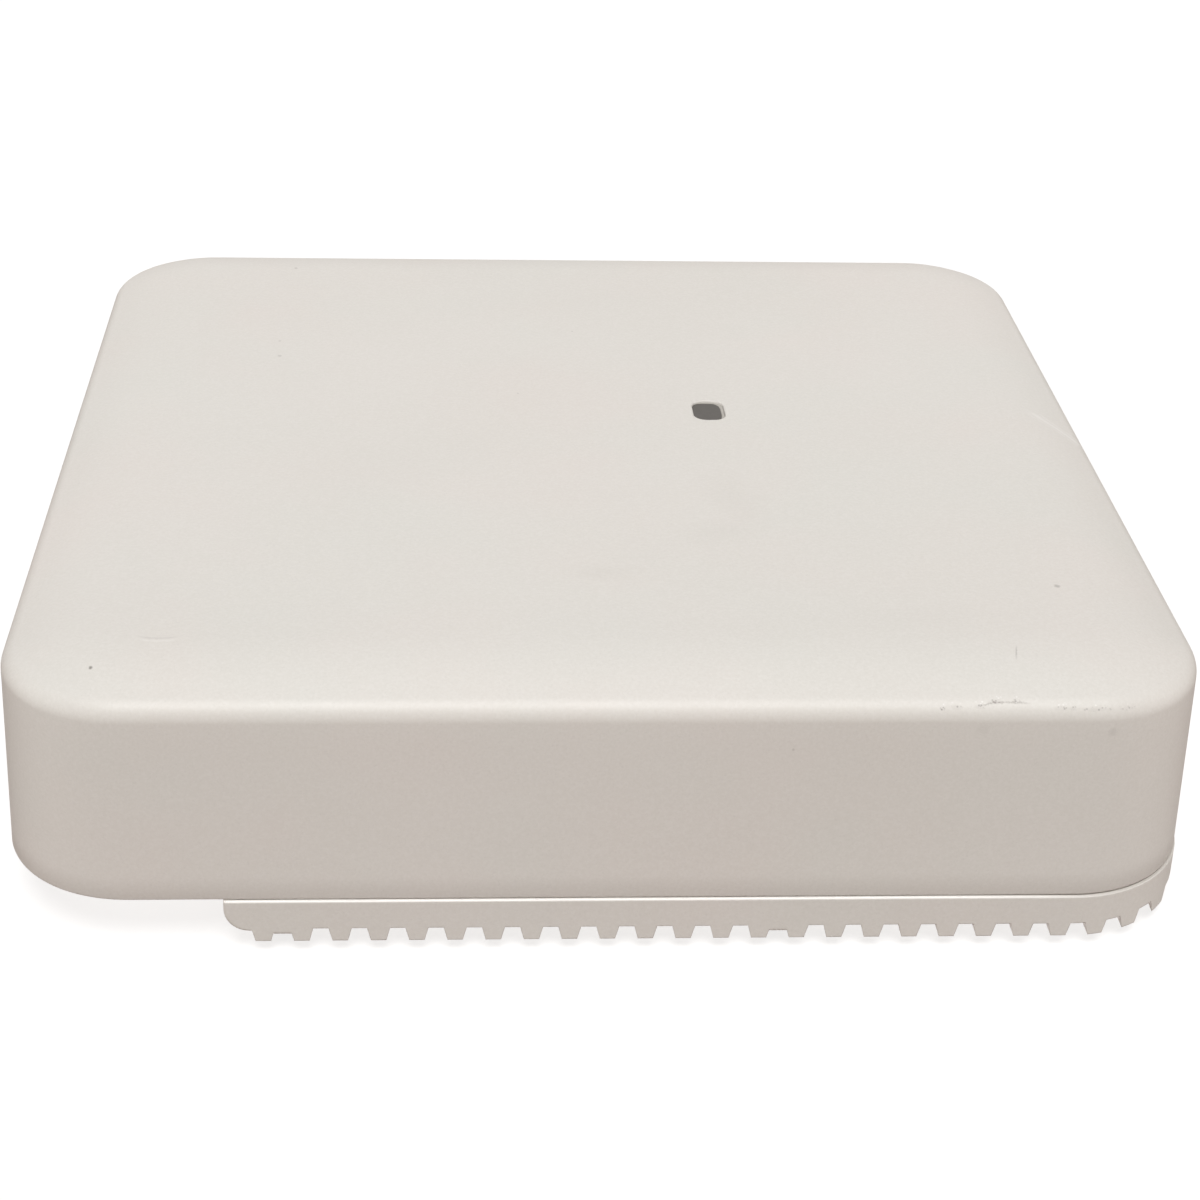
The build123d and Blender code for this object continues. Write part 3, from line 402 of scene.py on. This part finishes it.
def cover_material():
    m = Mat("cover_plastic", PAINT, rough=0.42, IOR=1.46)
    x, y, z = m.xyz()
    skin(m)
    smudges_and_specks(m)
    chipped_edge(m, x, y, z)
    # curved scuff near the front left corner, dark with a pale line in front of it
    scuff = [(-84, -91.2), (-81, -92.0), (-78.5, -91.9), (-76.5, -91.2)]
    m.tint(curve_line(m, x, y, scuff, 0.45, 0.22, 1400), (0.38, 0.35, 0.33), 0.22)
    pale = [(p, q - 0.9) for p, q in scuff]
    m.tint(curve_line(m, x, y, pale, 0.45, 0.22, 1400), (0.92, 0.90, 0.88), 0.30)
    # short scratch near the right
    scratch = [(-98.6, 72.9), (-96.5, 73.2), (-94.2, 73.7)]
    m.tint(curve_line(m, y, x, scratch, 0.24, 0.25, 2200), (0.32, 0.30, 0.28), 0.5)
    # pale rub across the right shoulder, in three strokes
    for off, w, k in ((0, 1.1, 0.42), (1.8, 0.6, 0.25), (-1.7, 0.8, 0.16)):
        path = [(-3, 108.8), (-1.5, 107.6), (2.5, 104.3), (6.7, 100.3), (9.7, 98.6)]
        path = [(p, q + off) for p, q in path]
        rub = m.times(curve_line(m, y, x, path, w, 0.12, 500), m.ramp(z, 0.0500, 0.0508))
        m.tint(rub, (0.93, 0.915, 0.89), k)
    return m.done(0.25)


# ------------------------------------------------------------ the cover
def cover_profile(t):
    """(inset, z) pairs up the wall, round the edge and over the shoulder to the flat face.

    t is the depth under the outside surface."""
    arc_z = TOP_Z - CROWN_R
    r = CROWN_R - t
    end = (CROWN_W - r * sin(CROWN_A), arc_z + r * cos(CROWN_A))
    wall0 = t / cos(DRAFT)
    k = tan(DRAFT)
    c = 1 / tan(CROWN_A)
    # shoulder line: inset = end.x - (end.z - z) * c
    # wall line: inset = wall0 + (z - RIM_Z) * k
    edge_z = (end[0] - end[1] * c - wall0 + RIM_Z * k) / (k - c)
    edge = Vector((wall0 + (edge_z - RIM_Z) * k, edge_z))
    w = Vector((sin(DRAFT), cos(DRAFT)))
    s = Vector((cos(CROWN_A), sin(CROWN_A)))
    re = EDGE_R - 0.6 * t
    phi = (-w).angle(s)
    tl = re / tan(phi / 2)
    t1, t2 = edge - w * tl, edge + s * tl
    centre = t1 + Vector((cos(DRAFT), -sin(DRAFT))) * re
    a1 = atan2(t1.y - centre.y, t1.x - centre.x)
    a2 = atan2(t2.y - centre.y, t2.x - centre.x)
    if a1 < a2:
        a1 += 2 * pi
    out = []
    z0 = RIM_Z + (0.35 if t == 0 else 0.25)
    for i in range(WALL_STEPS + 1):
        z = z0 + (t1.y - z0) * i / WALL_STEPS
        out.append((wall0 + (z - RIM_Z) * k, z))
    for i in range(1, ARC_STEPS + 1):
        a = a1 + (a2 - a1) * i / ARC_STEPS
        out.append((centre.x + re * cos(a), centre.y + re * sin(a)))
    for i in range(1, SLOPE_STEPS + 1):
        q = t2.lerp(Vector(end), i / SLOPE_STEPS)
        out.append((q.x, q.y))
    for i in range(1, ARC_STEPS + 1):
        a = CROWN_A * (1 - i / ARC_STEPS)
        out.append((CROWN_W - r * sin(a), arc_z + r * cos(a)))
    out.append((CROWN_W + 0.6, arc_z + r))
    return out


def build_cover(material):
    s = Shape()

    def ring(inset, z):
        half_x, half_y = COVER_W / 2 - inset, COVER_D / 2 - inset
        return s.loop(rounded(0, 0, half_x, half_y, CORNER_R - inset, z, 28, 14))

    # the rim's rounded lip, then the outside
    outer = [ring(0.35, RIM_Z), ring(0.1, RIM_Z + 0.1)]
    outer += [ring(*p) for p in cover_profile(0)]
    for a, b in zip(outer, outer[1:]):
        s.bridge(a, b)
    inner = [ring(WALL_T - 0.25, RIM_Z), ring(WALL_T - 0.07, RIM_Z + 0.07)]
    inner += [ring(*p) for p in cover_profile(WALL_T)]
    for a, b in zip(inner, inner[1:]):
        s.bridge(a, b, flip=True)
    s.bridge(outer[0], inner[0], flip=True)
    # window over the status light, with a rolled edge
    w, h, r = WINDOW

    def hole(grow, z):
        return s.loop(rounded(LED[0], LED[1], w / 2 + grow, h / 2 + grow, r + grow, z, 10, 4))

    holes = [hole(0.6, TOP_Z)]
    for a in (radians(15 * i) for i in range(7)):
        holes.append(hole(WINDOW_ROLL * (1 - sin(a)), TOP_Z - WINDOW_ROLL * (1 - cos(a))))
    holes += [hole(0, TOP_Z - WALL_T + 0.1), hole(0, TOP_Z - WALL_T)]
    for a, b in zip(holes, holes[1:]):
        s.bridge(a, b)
    s.fill(outer[-1], holes[0], up=True)
    s.fill(inner[-1], holes[-1], up=False)
    return s.make("cover_shell", material)


def circle(s, x, y, z, r, steps=28):
    return s.loop([(x + r * cos(2 * pi * i / steps), y + r * sin(2 * pi * i / steps), z)
                   for i in range(steps)])


def build_posts(material):
    """The six screw posts inside the cover, each tied to the wall by a rib."""
    s = Shape()
    c = POST_CHAMFER
    for x, y in POSTS:
        steps = [(POST_R, POST_HIGH), (POST_R, POST_LOW + c), (POST_R - c, POST_LOW),
                 (POST_HOLE_R + c, POST_LOW), (POST_HOLE_R, POST_LOW + c),
                 (POST_HOLE_R, POST_LOW + POST_HOLE_DEPTH)]
        rings = [circle(s, x, y, z, r) for r, z in steps]
        for a, b in zip(rings, rings[1:]):
            s.bridge(b, a)
        s.fill(rings[-1], up=False)
        s.fill(rings[0], up=True)
        # the rib: half thickness 0.8, half length 2.75, its middle 2 mm towards the wall
        if abs(y) > SIDE_POST_Y:
            half, cx, cy = (0.8, 2.75), x, y + (2.0 if y > 0 else -2.0)
        else:
            half, cx, cy = (2.75, 0.8), x + 2.0, y
        ribs = [s.loop(rounded(cx, cy, half[0] - d, half[1] - d, 0.3, z, 3, 2))
                for d, z in ((0.15, POST_LOW), (0, POST_LOW + 0.15), (0, POST_HIGH))]
        for a, b in zip(ribs, ribs[1:]):
            s.bridge(a, b)
        s.fill(ribs[0], up=False)
        s.fill(ribs[-1], up=True)
    return s.make("cover_posts", material)


cover_mat = cover_material()
for piece in (build_cover(cover_mat), build_posts(cover_mat)):
    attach(piece, "unit")
    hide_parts("top_cover")


# ------------------------------------------------------------ finishes of the CAD nodes
def paint_material():
    """Powder paint on the cast base, in the cover's colour: worn tips, a darker mottled band
    between the fins, and a painted highlight and painted shade along the ledge.
    """
    m = Mat("base_casting", PAINT, rough=0.50, IOR=1.5)
    place = m.xyz()
    x, z = place[0], place[2]
    skin(m, 14.0)
    m.add_height(m.noise(800, 2, 0.5), 0.020)
    # painted highlight: the narrow ledge under the cover is painted pale for the glint of the key
    # light on its edge, fading out towards the right corner
    ledge = m.times(m.ramp(z, 10.82 * MM, 10.88 * MM), m.fade(x, 0.066, 0.090))
    m.tint(ledge, (0.98, 0.96, 0.93))
    # painted shade: towards the right corner the ledge is darkened into a dark line where the glint
    # is gone
    ledge = m.times(m.ramp(z, 10.80 * MM, 10.88 * MM), m.ramp(x, 0.080, 0.100, 0.0, 0.85))
    m.tint(ledge, (0.56, 0.53, 0.49))
    # fin tips: paint worn through to the casting in places
    tip = m.fade(z, 2.42 * MM, 2.50 * MM)
    along = m.noise(110, 4, 0.6, vector=m.mapped(scale=(3.0, 0.5, 1)))
    worn = m.times(tip, m.ramp(along, 0.58, 0.66))
    m.tint(worn, (0.52, 0.51, 0.50), 0.5)
    m.add_rough(worn, -0.12)
    m.tint(m.times(tip, m.ramp(m.noise(900, 3, 0.7), 0.62, 0.70, 0.0, 0.35)), (0.45, 0.44, 0.42))
    # darker, mottled band on the downward faces between the fins and in the corners at their roots
    face = m.node("ShaderNodeSeparateXYZ")
    m.link(m.node("ShaderNodeNewGeometry").outputs["True Normal"], face.inputs[0])
    low = m.band(z, 4.7 * MM, 5.05 * MM, 5.15 * MM, 5.6 * MM)
    low = m.times(low, m.fade(face.outputs[2], -0.9, -0.8))
    root_darkening = m.times(low, m.ramp(m.noise(55, 4, 0.6), 0.35, 0.75, 0.15, 0.60))
    m.tint(root_darkening, (0.42, 0.39, 0.35))
    # faint flow lines of the casting on the wide flat faces
    flow = m.noise(30, 4, 0.6, vector=m.mapped(scale=(1, 3, 1)), distortion=0.4)
    m.tint(m.ramp(flow, 0.50, 0.78, 0.0, 0.12), (0.62, 0.60, 0.57))
    return m.done(0.30)


def label_material():
    """Printed film: a ruled form with blank cells and grey blocks, no lettering."""
    m = Mat("label_film", (0.80, 0.80, 0.785), rough=0.36, IOR=1.5)
    x, y = m.xyz()[:2]
    m.tint(m.ramp(m.noise(60, 3, 0.6), 0.4, 0.75, 0.0, 0.5), (0.76, 0.75, 0.73))
    m.add_height(m.noise(500, 2, 0.5), 0.006)
    m.add_rough(m.noise(90, 3, 0.6), 0.18)
    ink = (0.16, 0.16, 0.165)

    blur = 0.06

    def block(x0, x1, y0, y1):
        a = m.band(x, (x0 - blur) * MM, x0 * MM, x1 * MM, (x1 + blur) * MM)
        b = m.band(y, (y0 - blur) * MM, y0 * MM, y1 * MM, (y1 + blur) * MM)
        return m.times(a, b)

    lines = [(-22, 42, 20.2, 20.5), (-22, 42, -20.5, -20.2), (-22, -21.7, -20.5, 20.5),
             (41.7, 42, -20.5, 20.5), (-22, 42, 9.0, 9.25), (-22, 42, -6.2, -5.95),
             (12, 12.25, -20.5, -6), (12, 12.25, 9, 20.5)]
    for line in lines:
        m.tint(block(*line), ink, 0.8)
    cells = [(-19, 8, 12.5, 17), (15, 38.5, -17.5, -9.5), (-19, 2, -10.5, -8.8),
             (-19, -4, -14.2, -12.5)]
    for cell in cells:
        m.tint(block(*cell), ink, 0.38)
    scuffs = m.noise(70, 5, 0.65, vector=m.mapped(rot=(0, 0, 0.5), scale=(1, 6, 1)))
    scuffs = m.ramp(scuffs, 0.60, 0.68)
    m.tint(scuffs, (0.60, 0.59, 0.57), 0.3)
    m.add_rough(scuffs, 0.15)
    return m.done(0.08)


def board_material():
    """Green laminate with patches of tracks, plated holes, a copper border and raw edges."""
    m = Mat("board_laminate", (0.014, 0.098, 0.047), rough=0.28, IOR=1.5)
    x, y, z = m.xyz()
    a, b = (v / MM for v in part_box("main_board"))
    m.tint(m.ramp(m.noise(40, 3, 0.6), 0.35, 0.75, 0.0, 0.4), (0.020, 0.130, 0.062))
    pick = m.node("ShaderNodeSeparateColor")
    m.link(m.voronoi(78, out="Color"), pick.inputs[0])
    cell = pick.outputs[0]      # some cells have tracks one way, some the other, the rest none
    for across, low, high in ((x, 0.60, 0.61), (y, 0.39, 0.38)):
        f = m.math("FRACT", m.math("DIVIDE", across, 0.92 * MM))
        track = m.fade(m.size(m.minus(f, 0.5)), 0.17, 0.21)
        track = m.times(track, m.ramp(cell, low, high))
        m.tint(track, (0.040, 0.215, 0.100), 0.75)
        m.add_height(track, 0.03)
    hole = m.voronoi(400)
    some = m.ramp(m.noise(95, 2, 0.5), 0.50, 0.56)
    m.tint(m.times(m.fade(hole, 0.13, 0.16), some), (0.62, 0.55, 0.36))
    m.tint(m.times(m.fade(hole, 0.05, 0.06), some), (0.02, 0.02, 0.02))
    # copper strip along the edges: gap is the distance from the nearest straight edge
    gap = m.math("MINIMUM", m.minus(x, a.x * MM), m.minus(b.x * MM, x))
    gap = m.math("MINIMUM", gap, m.math("MINIMUM", m.minus(y, a.y * MM), m.minus(b.y * MM, y)))
    strip = m.band(gap, 0.9 * MM, 1.0 * MM, 2.0 * MM, 2.1 * MM)
    m.tint(strip, (0.66, 0.56, 0.33))
    m.add_rough(strip, 0.1)
    # white outlines behind the hot chips
    frames = [(0, -5, 17, 17), (45, -45, 12.5, 10.5), (45, 0, 12.5, 10.5), (45, 45, 12.5, 10.5)]
    for cx, cy, w, h in frames:
        u = m.minus(m.size(m.minus(x, cx * MM)), w * MM)
        v = m.minus(m.size(m.minus(y, cy * MM)), h * MM)
        d = m.size(m.math("MAXIMUM", u, v))
        m.tint(m.ramp(d, 0.10 * MM, 0.14 * MM, 0.9, 0.0), (0.78, 0.78, 0.75))
    raw = m.band(z, (a.z + 0.10) * MM, (a.z + 0.15) * MM, (b.z - 0.15) * MM, (b.z - 0.10) * MM)
    m.tint(raw, (0.34, 0.36, 0.17))
    m.add_rough(raw, 0.35)
    m.add_height(m.noise(1200, 2, 0.5), 0.006)
    m.add_rough(m.noise(220, 3, 0.6), 0.12)
    return m.done(0.08)


def lens_material():
    """Smoked light pipe: dark middle, the pipe's pale edge showing at the right and the back."""
    m = Mat("smoked_lens", (0.085, 0.080, 0.072), rough=0.30, IOR=1.49)
    m.tint(m.ramp(m.noise(700, 3, 0.6), 0.4, 0.7, 0.0, 0.3), (0.115, 0.108, 0.098))
    x, y = m.xyz()[:2]
    u = m.math("DIVIDE", m.minus(x, (LED[0] - 0.42) * MM), 3.25 * MM)
    v = m.math("DIVIDE", m.minus(y, (LED[1] - 0.35) * MM), 4.85 * MM)
    power = 3.4     # a rounded oblong
    d = m.math("ADD", m.math("POWER", m.size(u), power), m.math("POWER", m.size(v), power))
    d = m.math("MULTIPLY_ADD", m.noise(900, 3, 0.6), 0.10, d)
    m.tint(m.ramp(d, 0.90, 1.06), (0.47, 0.45, 0.41))
    m.add_height(m.noise(2400, 2, 0.5), 0.003)
    m.add_rough(m.noise(260, 3, 0.6), 0.14)
    return m.done(0.12)


def metal(name, colour, rough, brush=None):
    m = Mat(name, colour, rough=rough, metal=1.0)
    v = m.mapped(scale=brush) if brush else None
    m.add_rough(m.noise(900, 3, 0.6, vector=v), 0.18)
    m.add_height(m.noise(2400, 2, 0.5, vector=v), 0.004)
    m.tint(m.ramp(m.noise(130, 4, 0.6), 0.4, 0.8, 0.0, 0.35), tuple(c * 0.72 for c in colour))
    return m.done(0.08)


def plastic(name, colour, rough, grain=1600, depth=0.008):
    m = Mat(name, colour, rough=rough, IOR=1.48)
    worn = tuple(min(1, c * 1.35 + 0.01) for c in colour)
    m.tint(m.ramp(m.noise(200, 3, 0.6), 0.35, 0.75, 0.0, 0.35), worn)
    m.add_height(m.noise(grain, 2, 0.5), depth)
    m.add_rough(m.noise(260, 3, 0.6), 0.14)
    return m.done(0.10)


finishes = {
    "base_casting": paint_material(),
    "stud_steel": metal("stud_steel", (0.50, 0.49, 0.47), 0.36),
    "screw_steel": metal("screw_steel", (0.32, 0.31, 0.30), 0.34),
    "label_film": label_material(),
    "board_laminate": board_material(),
    "chip_black": plastic("chip_black", (0.022, 0.022, 0.024), 0.55, 4200, 0.01),
    "chip_lid": metal("chip_lid", (0.56, 0.55, 0.54), 0.40),
    "shield_tin": metal("shield_tin", (0.68, 0.67, 0.64), 0.30),
    "thermal_pad": plastic("thermal_pad", (0.22, 0.36, 0.48), 0.75, 2200, 0.02),
    "jack_shield": metal("jack_shield", (0.64, 0.63, 0.61), 0.28, (1, 1, 0.06)),
    "jack_black": plastic("jack_black", (0.02, 0.02, 0.02), 0.45, 2600, 0.006),
    "contact_gold": metal("contact_gold", (0.83, 0.60, 0.24), 0.22),
    "usb_tongue": plastic("usb_tongue", (0.70, 0.70, 0.66), 0.5),
    "button_plastic": plastic("button_plastic", (0.05, 0.05, 0.05), 0.5),
    "dome_steel": metal("dome_steel", (0.70, 0.70, 0.70), 0.2),
    "ferrite": plastic("ferrite", (0.05, 0.05, 0.055), 0.65, 2600, 0.02),
    "can_aluminium": metal("can_aluminium", (0.75, 0.75, 0.76), 0.3),
    "led_white": plastic("led_white", (0.80, 0.76, 0.45), 0.25),
    "smoked_lens": lens_material(),
    "brass_plated": metal("brass_plated", (0.70, 0.62, 0.42), 0.28),
    "deck_aluminium": metal("deck_aluminium", (0.76, 0.76, 0.77), 0.34, (0.05, 1, 1)),
    "antenna_tin": metal("antenna_tin", (0.72, 0.71, 0.67), 0.28),
    "support_plastic": plastic("support_plastic", (0.80, 0.80, 0.78), 0.5),
    "cable_jacket": plastic("cable_jacket", (0.03, 0.03, 0.03), 0.5),
}
slot_of = {p["node"]: p["material_slot"] for p in frame["record"]["subparts"]}
for name, o in nodes.items():
    if name == "top_cover":
        continue
    o.data.materials.clear()
    o.data.materials.append(finishes[slot_of[name]])


# ------------------------------------------------------------ the mode button's snap dome
def build_dome(material):
    """Thin sprung dome, its rim held by the switch; the button flattens it from its crown."""
    a, b = (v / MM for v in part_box("mode_switch_dome"))
    cy, cz = (a.y + b.y) / 2, (a.z + b.z) / 2
    rim_x, rim_r, rise = b.x, (b.z - a.z) / 2, b.x - a.x
    s = Shape()
    around, up = 40, 12

    def ring(r, x):
        turns = [2 * pi * i / around for i in range(around)]
        return s.loop([(x, cy + r * sin(t), cz + r * cos(t)) for t in turns])

    outer, inner = [], []
    for i in range(up + 1):
        t = pi / 2 * i / up
        full = cos(t) ** 0.8
        outer.append(ring(rim_r * full + 0.02, rim_x - rise * sin(t)))
        inner.append(ring((rim_r - DOME_SHEET) * full + 0.01, rim_x - (rise - DOME_SHEET) * sin(t)))
    for rings, flip in ((outer, False), (inner, True)):
        for a, b in zip(rings, rings[1:]):
            s.bridge(a, b, flip)
        crown = rings[-1]
        s.faces.append(crown[::-1] if flip else crown)
    s.bridge(outer[0], inner[0], flip=True)
    dome = s.make("snap_dome", material)
    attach(dome, "unit")
    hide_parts("mode_switch_dome")
    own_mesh(dome)


# ------------------------------------------------------------ small parts soldered to the board
def lands_on_board(trees, x, y, top):
    """True if a ray down from the deck at (x, y), in mm, meets the top of the board first."""
    start = Vector((x, y, DECK_UNDERSIDE)) * MM
    hits = [(t.ray_cast(start, Vector((0, 0, -1)))[3], n) for n, t in trees.items()]
    hits = [h for h in hits if h[0] is not None]
    if not hits:
        return False
    far, name = min(hits)
    return name == "main_board" and abs(start.z - far - top) <= 1e-5


def clear_spots(spots):
    """The (x, y, turned) spots, in mm, with nothing over them between the board and the deck."""
    graph = bpy.context.evaluated_depsgraph_get()
    skip = ("top_cover", "antenna_plate", "heatsink_base")
    trees = {n: BVHTree.FromObject(o, graph) for n, o in nodes.items() if n not in skip}
    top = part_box("main_board")[1].z
    free = []
    for x, y, turned in spots:
        reach_x, reach_y = (0.7, 1.15) if turned else (1.15, 0.7)
        if all(lands_on_board(trees, x + i * reach_x, y + j * reach_y, top)
               for i in (-1, 0, 1) for j in (-1, 0, 1)):
            free.append((x, y, turned))
    return free


def chip(s, cx, cy, z, half_x, half_y, tall, flare=0.0):
    """A small block with softened edges; flare widens its foot like a solder fillet."""
    rings = [s.loop(rounded(cx, cy, half_x + d, half_y + d, 0.06 + max(d, 0), z + h, 1, 1))
             for d, h in ((flare, 0), (0, 0.2 * tall), (0, tall - 0.05), (-0.05, tall))]
    for a, b in zip(rings, rings[1:]):
        s.bridge(a, b)
    s.fill(rings[0], up=False)
    s.fill(rings[-1], up=True)


def board_parts():
    """Capacitors and resistors behind the chips, beside the jacks and along the feeds."""
    # each field: its middle, how many parts across and along, and their spacing
    fields = [(0, -5, 9, 9, 3.1, 3.1), (45, -45, 6, 5, 3.4, 3.4), (45, 0, 6, 5, 3.4, 3.4),
              (45, 45, 6, 5, 3.4, 3.4), (-9, 24, 3, 3, 3.4, 3.0), (9, 24, 3, 3, 3.4, 3.0),
              (-9, -34, 3, 3, 3.4, 3.0), (9, -34, 3, 3, 3.4, 3.0), (-44, -40, 2, 8, 3.4, 3.2),
              (-42, 34, 3, 6, 3.4, 3.2), (-12, -66, 7, 5, 3.4, 3.0), (70, -20, 3, 6, 3.6, 3.2),
              (70, 24, 3, 6, 3.6, 3.2), (20, 62, 8, 3, 3.4, 3.0), (-20, 70, 6, 3, 3.4, 3.0),
              (84, -60, 3, 4, 3.4, 3.0), (84, 62, 3, 4, 3.4, 3.0), (27.6, 13, 3, 1, 3.4, 3.0)]
    spots = []
    for cx, cy, nx, ny, px, py in fields:
        for i in range(nx):
            for j in range(ny):
                if (3 * i + 5 * j) % 7 == 1:
                    continue
                x = cx + (i - (nx - 1) / 2) * px
                y = cy + (j - (ny - 1) / 2) * py
                spots.append((x, y, (i // 3 + j // 2) % 2 == 1))
    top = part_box("main_board")[1].z / MM
    parts = {"smd_capacitors": Shape(), "smd_resistors": Shape(), "smd_terminals": Shape()}
    for k, (x, y, turned) in enumerate(clear_spots(spots)):
        kind, tall = "smd_capacitors", CAPACITOR_TALL
        if k % 3 == 0:
            kind, tall = "smd_resistors", RESISTOR_TALL
        body, end, out = (CHIP_LONG, CHIP_SHORT), (TERMINAL_SHORT, TERMINAL_LONG), (TERMINAL_OUT, 0)
        if turned:
            body, end, out = body[::-1], end[::-1], out[::-1]
        chip(parts[kind], x, y, top + 0.02, *body, tall)
        for side in (-1, 1):
            chip(parts["smd_terminals"], x + side * out[0], y + side * out[1], top, *end,
                 tall + 0.04, 0.12)
    tan_body = plastic("ceramic_tan", (0.33, 0.22, 0.12), 0.45, 3000, 0.004)
    black_body = plastic("ceramic_black", (0.02, 0.02, 0.022), 0.35, 3000, 0.004)
    solder = metal("solder_tin", (0.66, 0.66, 0.65), 0.30)
    looks = {"smd_capacitors": (tan_body, "ferrite"), "smd_resistors": (black_body, "chip_black"),
             "smd_terminals": (solder, "shield_tin")}
    for name, shape in parts.items():
        o = shape.make(name, looks[name][0], smooth=False)
        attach(o, "unit")


# the rays of board_parts need every CAD node still shown, so it comes before the dome is replaced
board_parts()
build_dome(finishes["dome_steel"])


# ------------------------------------------------------------ floor, light and camera
def floor():
    """White paper: takes the soft shadow, doesn't light the object, is clear from below."""
    m = bpy.data.materials.new("floor_paper")
    m.use_nodes = True
    t = m.node_tree
    t.nodes.clear()
    new, link = t.nodes.new, t.links.new
    grain = new("ShaderNodeTexNoise")
    grain.inputs["Scale"].default_value = 40
    tone = new("ShaderNodeMapRange")
    tone.inputs["To Min"].default_value = 0.33
    tone.inputs["To Max"].default_value = 0.36
    link(grain.outputs["Fac"], tone.inputs["Value"])
    paper = new("ShaderNodeBsdfDiffuse")
    link(tone.outputs[0], paper.inputs["Color"])
    glow = new("ShaderNodeEmission")
    glow.inputs["Color"].default_value = (1.0, 0.998, 0.995, 1)
    glow.inputs["Strength"].default_value = 0.71
    lit = new("ShaderNodeAddShader")
    link(paper.outputs[0], lit.inputs[0])
    link(glow.outputs[0], lit.inputs[1])
    geo = new("ShaderNodeNewGeometry")
    clear = new("ShaderNodeBsdfTransparent")
    side = new("ShaderNodeMixShader")
    link(geo.outputs["Backfacing"], side.inputs["Fac"])
    link(lit.outputs[0], side.inputs[1])
    link(clear.outputs[0], side.inputs[2])
    out = new("ShaderNodeOutputMaterial")
    link(side.outputs[0], out.inputs["Surface"])
    mesh = bpy.data.meshes.new("floor")
    r, z = FLOOR_HALF, FLOOR_Z
    mesh.from_pydata([(-r, -r, z), (r, -r, z), (r, r, z), (-r, r, z)], [], [(0, 1, 2, 3)])
    mesh.materials.append(m)
    o = bpy.data.objects.new("floor", mesh)
    bpy.context.scene.collection.objects.link(o)
    o.visible_diffuse = o.visible_glossy = o.visible_transmission = o.visible_shadow = False


def sun(name, azimuth, elevation, energy, spread, colour):
    """azimuth 0 shines from the front, 90 from the right"""
    light = bpy.data.lights.new(name, "SUN")
    light.energy = energy
    light.angle = radians(spread)
    light.color = colour
    o = bpy.data.objects.new(name, light)
    bpy.context.scene.collection.objects.link(o)
    a, e = radians(azimuth), radians(elevation)
    d = Vector((sin(a) * cos(e), -cos(a) * cos(e), sin(e)))
    o.rotation_euler = d.to_track_quat("Z", "Y").to_euler()


def studio():
    """A broad soft key from the front and above, low fills at the sides and back, pale surround."""
    sun("key", -2, 61, 2.42, 28, (1.0, 0.995, 0.985))
    fills = (("fill_left", -80, 4, 0.74), ("fill_right", 80, 4, 0.74), ("fill_back", 180, 14, 0.5))
    for name, azimuth, elevation, energy in fills:
        sun(name, azimuth, elevation, energy, 60, (1.0, 0.945, 0.915))
    sun("under", 165, -58, 1.15, 50, (0.97, 0.98, 1.0))
    world = bpy.data.worlds.new("studio")
    bpy.context.scene.world = world
    world.use_nodes = True
    t = world.node_tree
    new, link = t.nodes.new, t.links.new
    bg = t.nodes["Background"]
    coord = new("ShaderNodeTexCoord")
    split = new("ShaderNodeSeparateXYZ")
    link(coord.outputs["Generated"], split.inputs[0])
    height = new("ShaderNodeMapRange")
    height.inputs["From Min"].default_value = -1.0
    link(split.outputs[2], height.inputs["Value"])
    sky = new("ShaderNodeValToRGB")
    stops = sky.color_ramp.elements
    stops[0].position, stops[0].color = 0.30, (0.35, 0.285, 0.255, 1)
    stops[1].position, stops[1].color = 0.95, (0.22, 0.222, 0.225, 1)
    low = stops.new(0.52)
    low.color = (0.16, 0.14, 0.125, 1)
    link(height.outputs[0], sky.inputs["Fac"])
    path = new("ShaderNodeLightPath")
    mix = new("ShaderNodeMix")
    mix.data_type = "RGBA"
    link(path.outputs["Is Camera Ray"], mix.inputs["Factor"])
    link(sky.outputs["Color"], mix.inputs["A"])
    mix.inputs["B"].default_value = (1, 1, 1, 1)
    link(mix.outputs["Result"], bg.inputs["Color"])


floor()
studio()

# the camera's distance in metres, its turns in degrees, its lens in mm
CAM_DIST, CAM_EL, CAM_YAW, CAM_ROLL = 0.53528, 26.742, -3.588, 1.755
CAM_SENSOR, CAM_LENS, CAM_SHIFT = 36.0, 74.061, (0.016667, -0.069333)
CAM_TARGET = Vector((0, 0, 0.033))
el, yaw, roll = (radians(v) for v in (CAM_EL, CAM_YAW, CAM_ROLL))
back = Vector((sin(yaw) * cos(el), -cos(yaw) * cos(el), sin(el)))
right = (-back).cross(Vector((0, 0, 1))).normalized()
up = right.cross(-back)
cam_x = right * cos(roll) + up * sin(roll)
cam_y = -right * sin(roll) + up * cos(roll)
cam = bpy.data.cameras.new("camera")
cam.sensor_width = CAM_SENSOR
cam.lens = CAM_LENS
cam.shift_x, cam.shift_y = CAM_SHIFT
cam.clip_start = 0.01
camera = bpy.data.objects.new("camera", cam)
bpy.context.scene.collection.objects.link(camera)
rot = Matrix((cam_x, cam_y, back)).transposed().to_4x4()
camera.matrix_world = Matrix.Translation(CAM_TARGET + back * CAM_DIST) @ rot
bpy.context.scene.camera = camera
bpy.context.scene.view_settings.view_transform = "Standard"
bpy.context.scene.view_settings.look = "None"
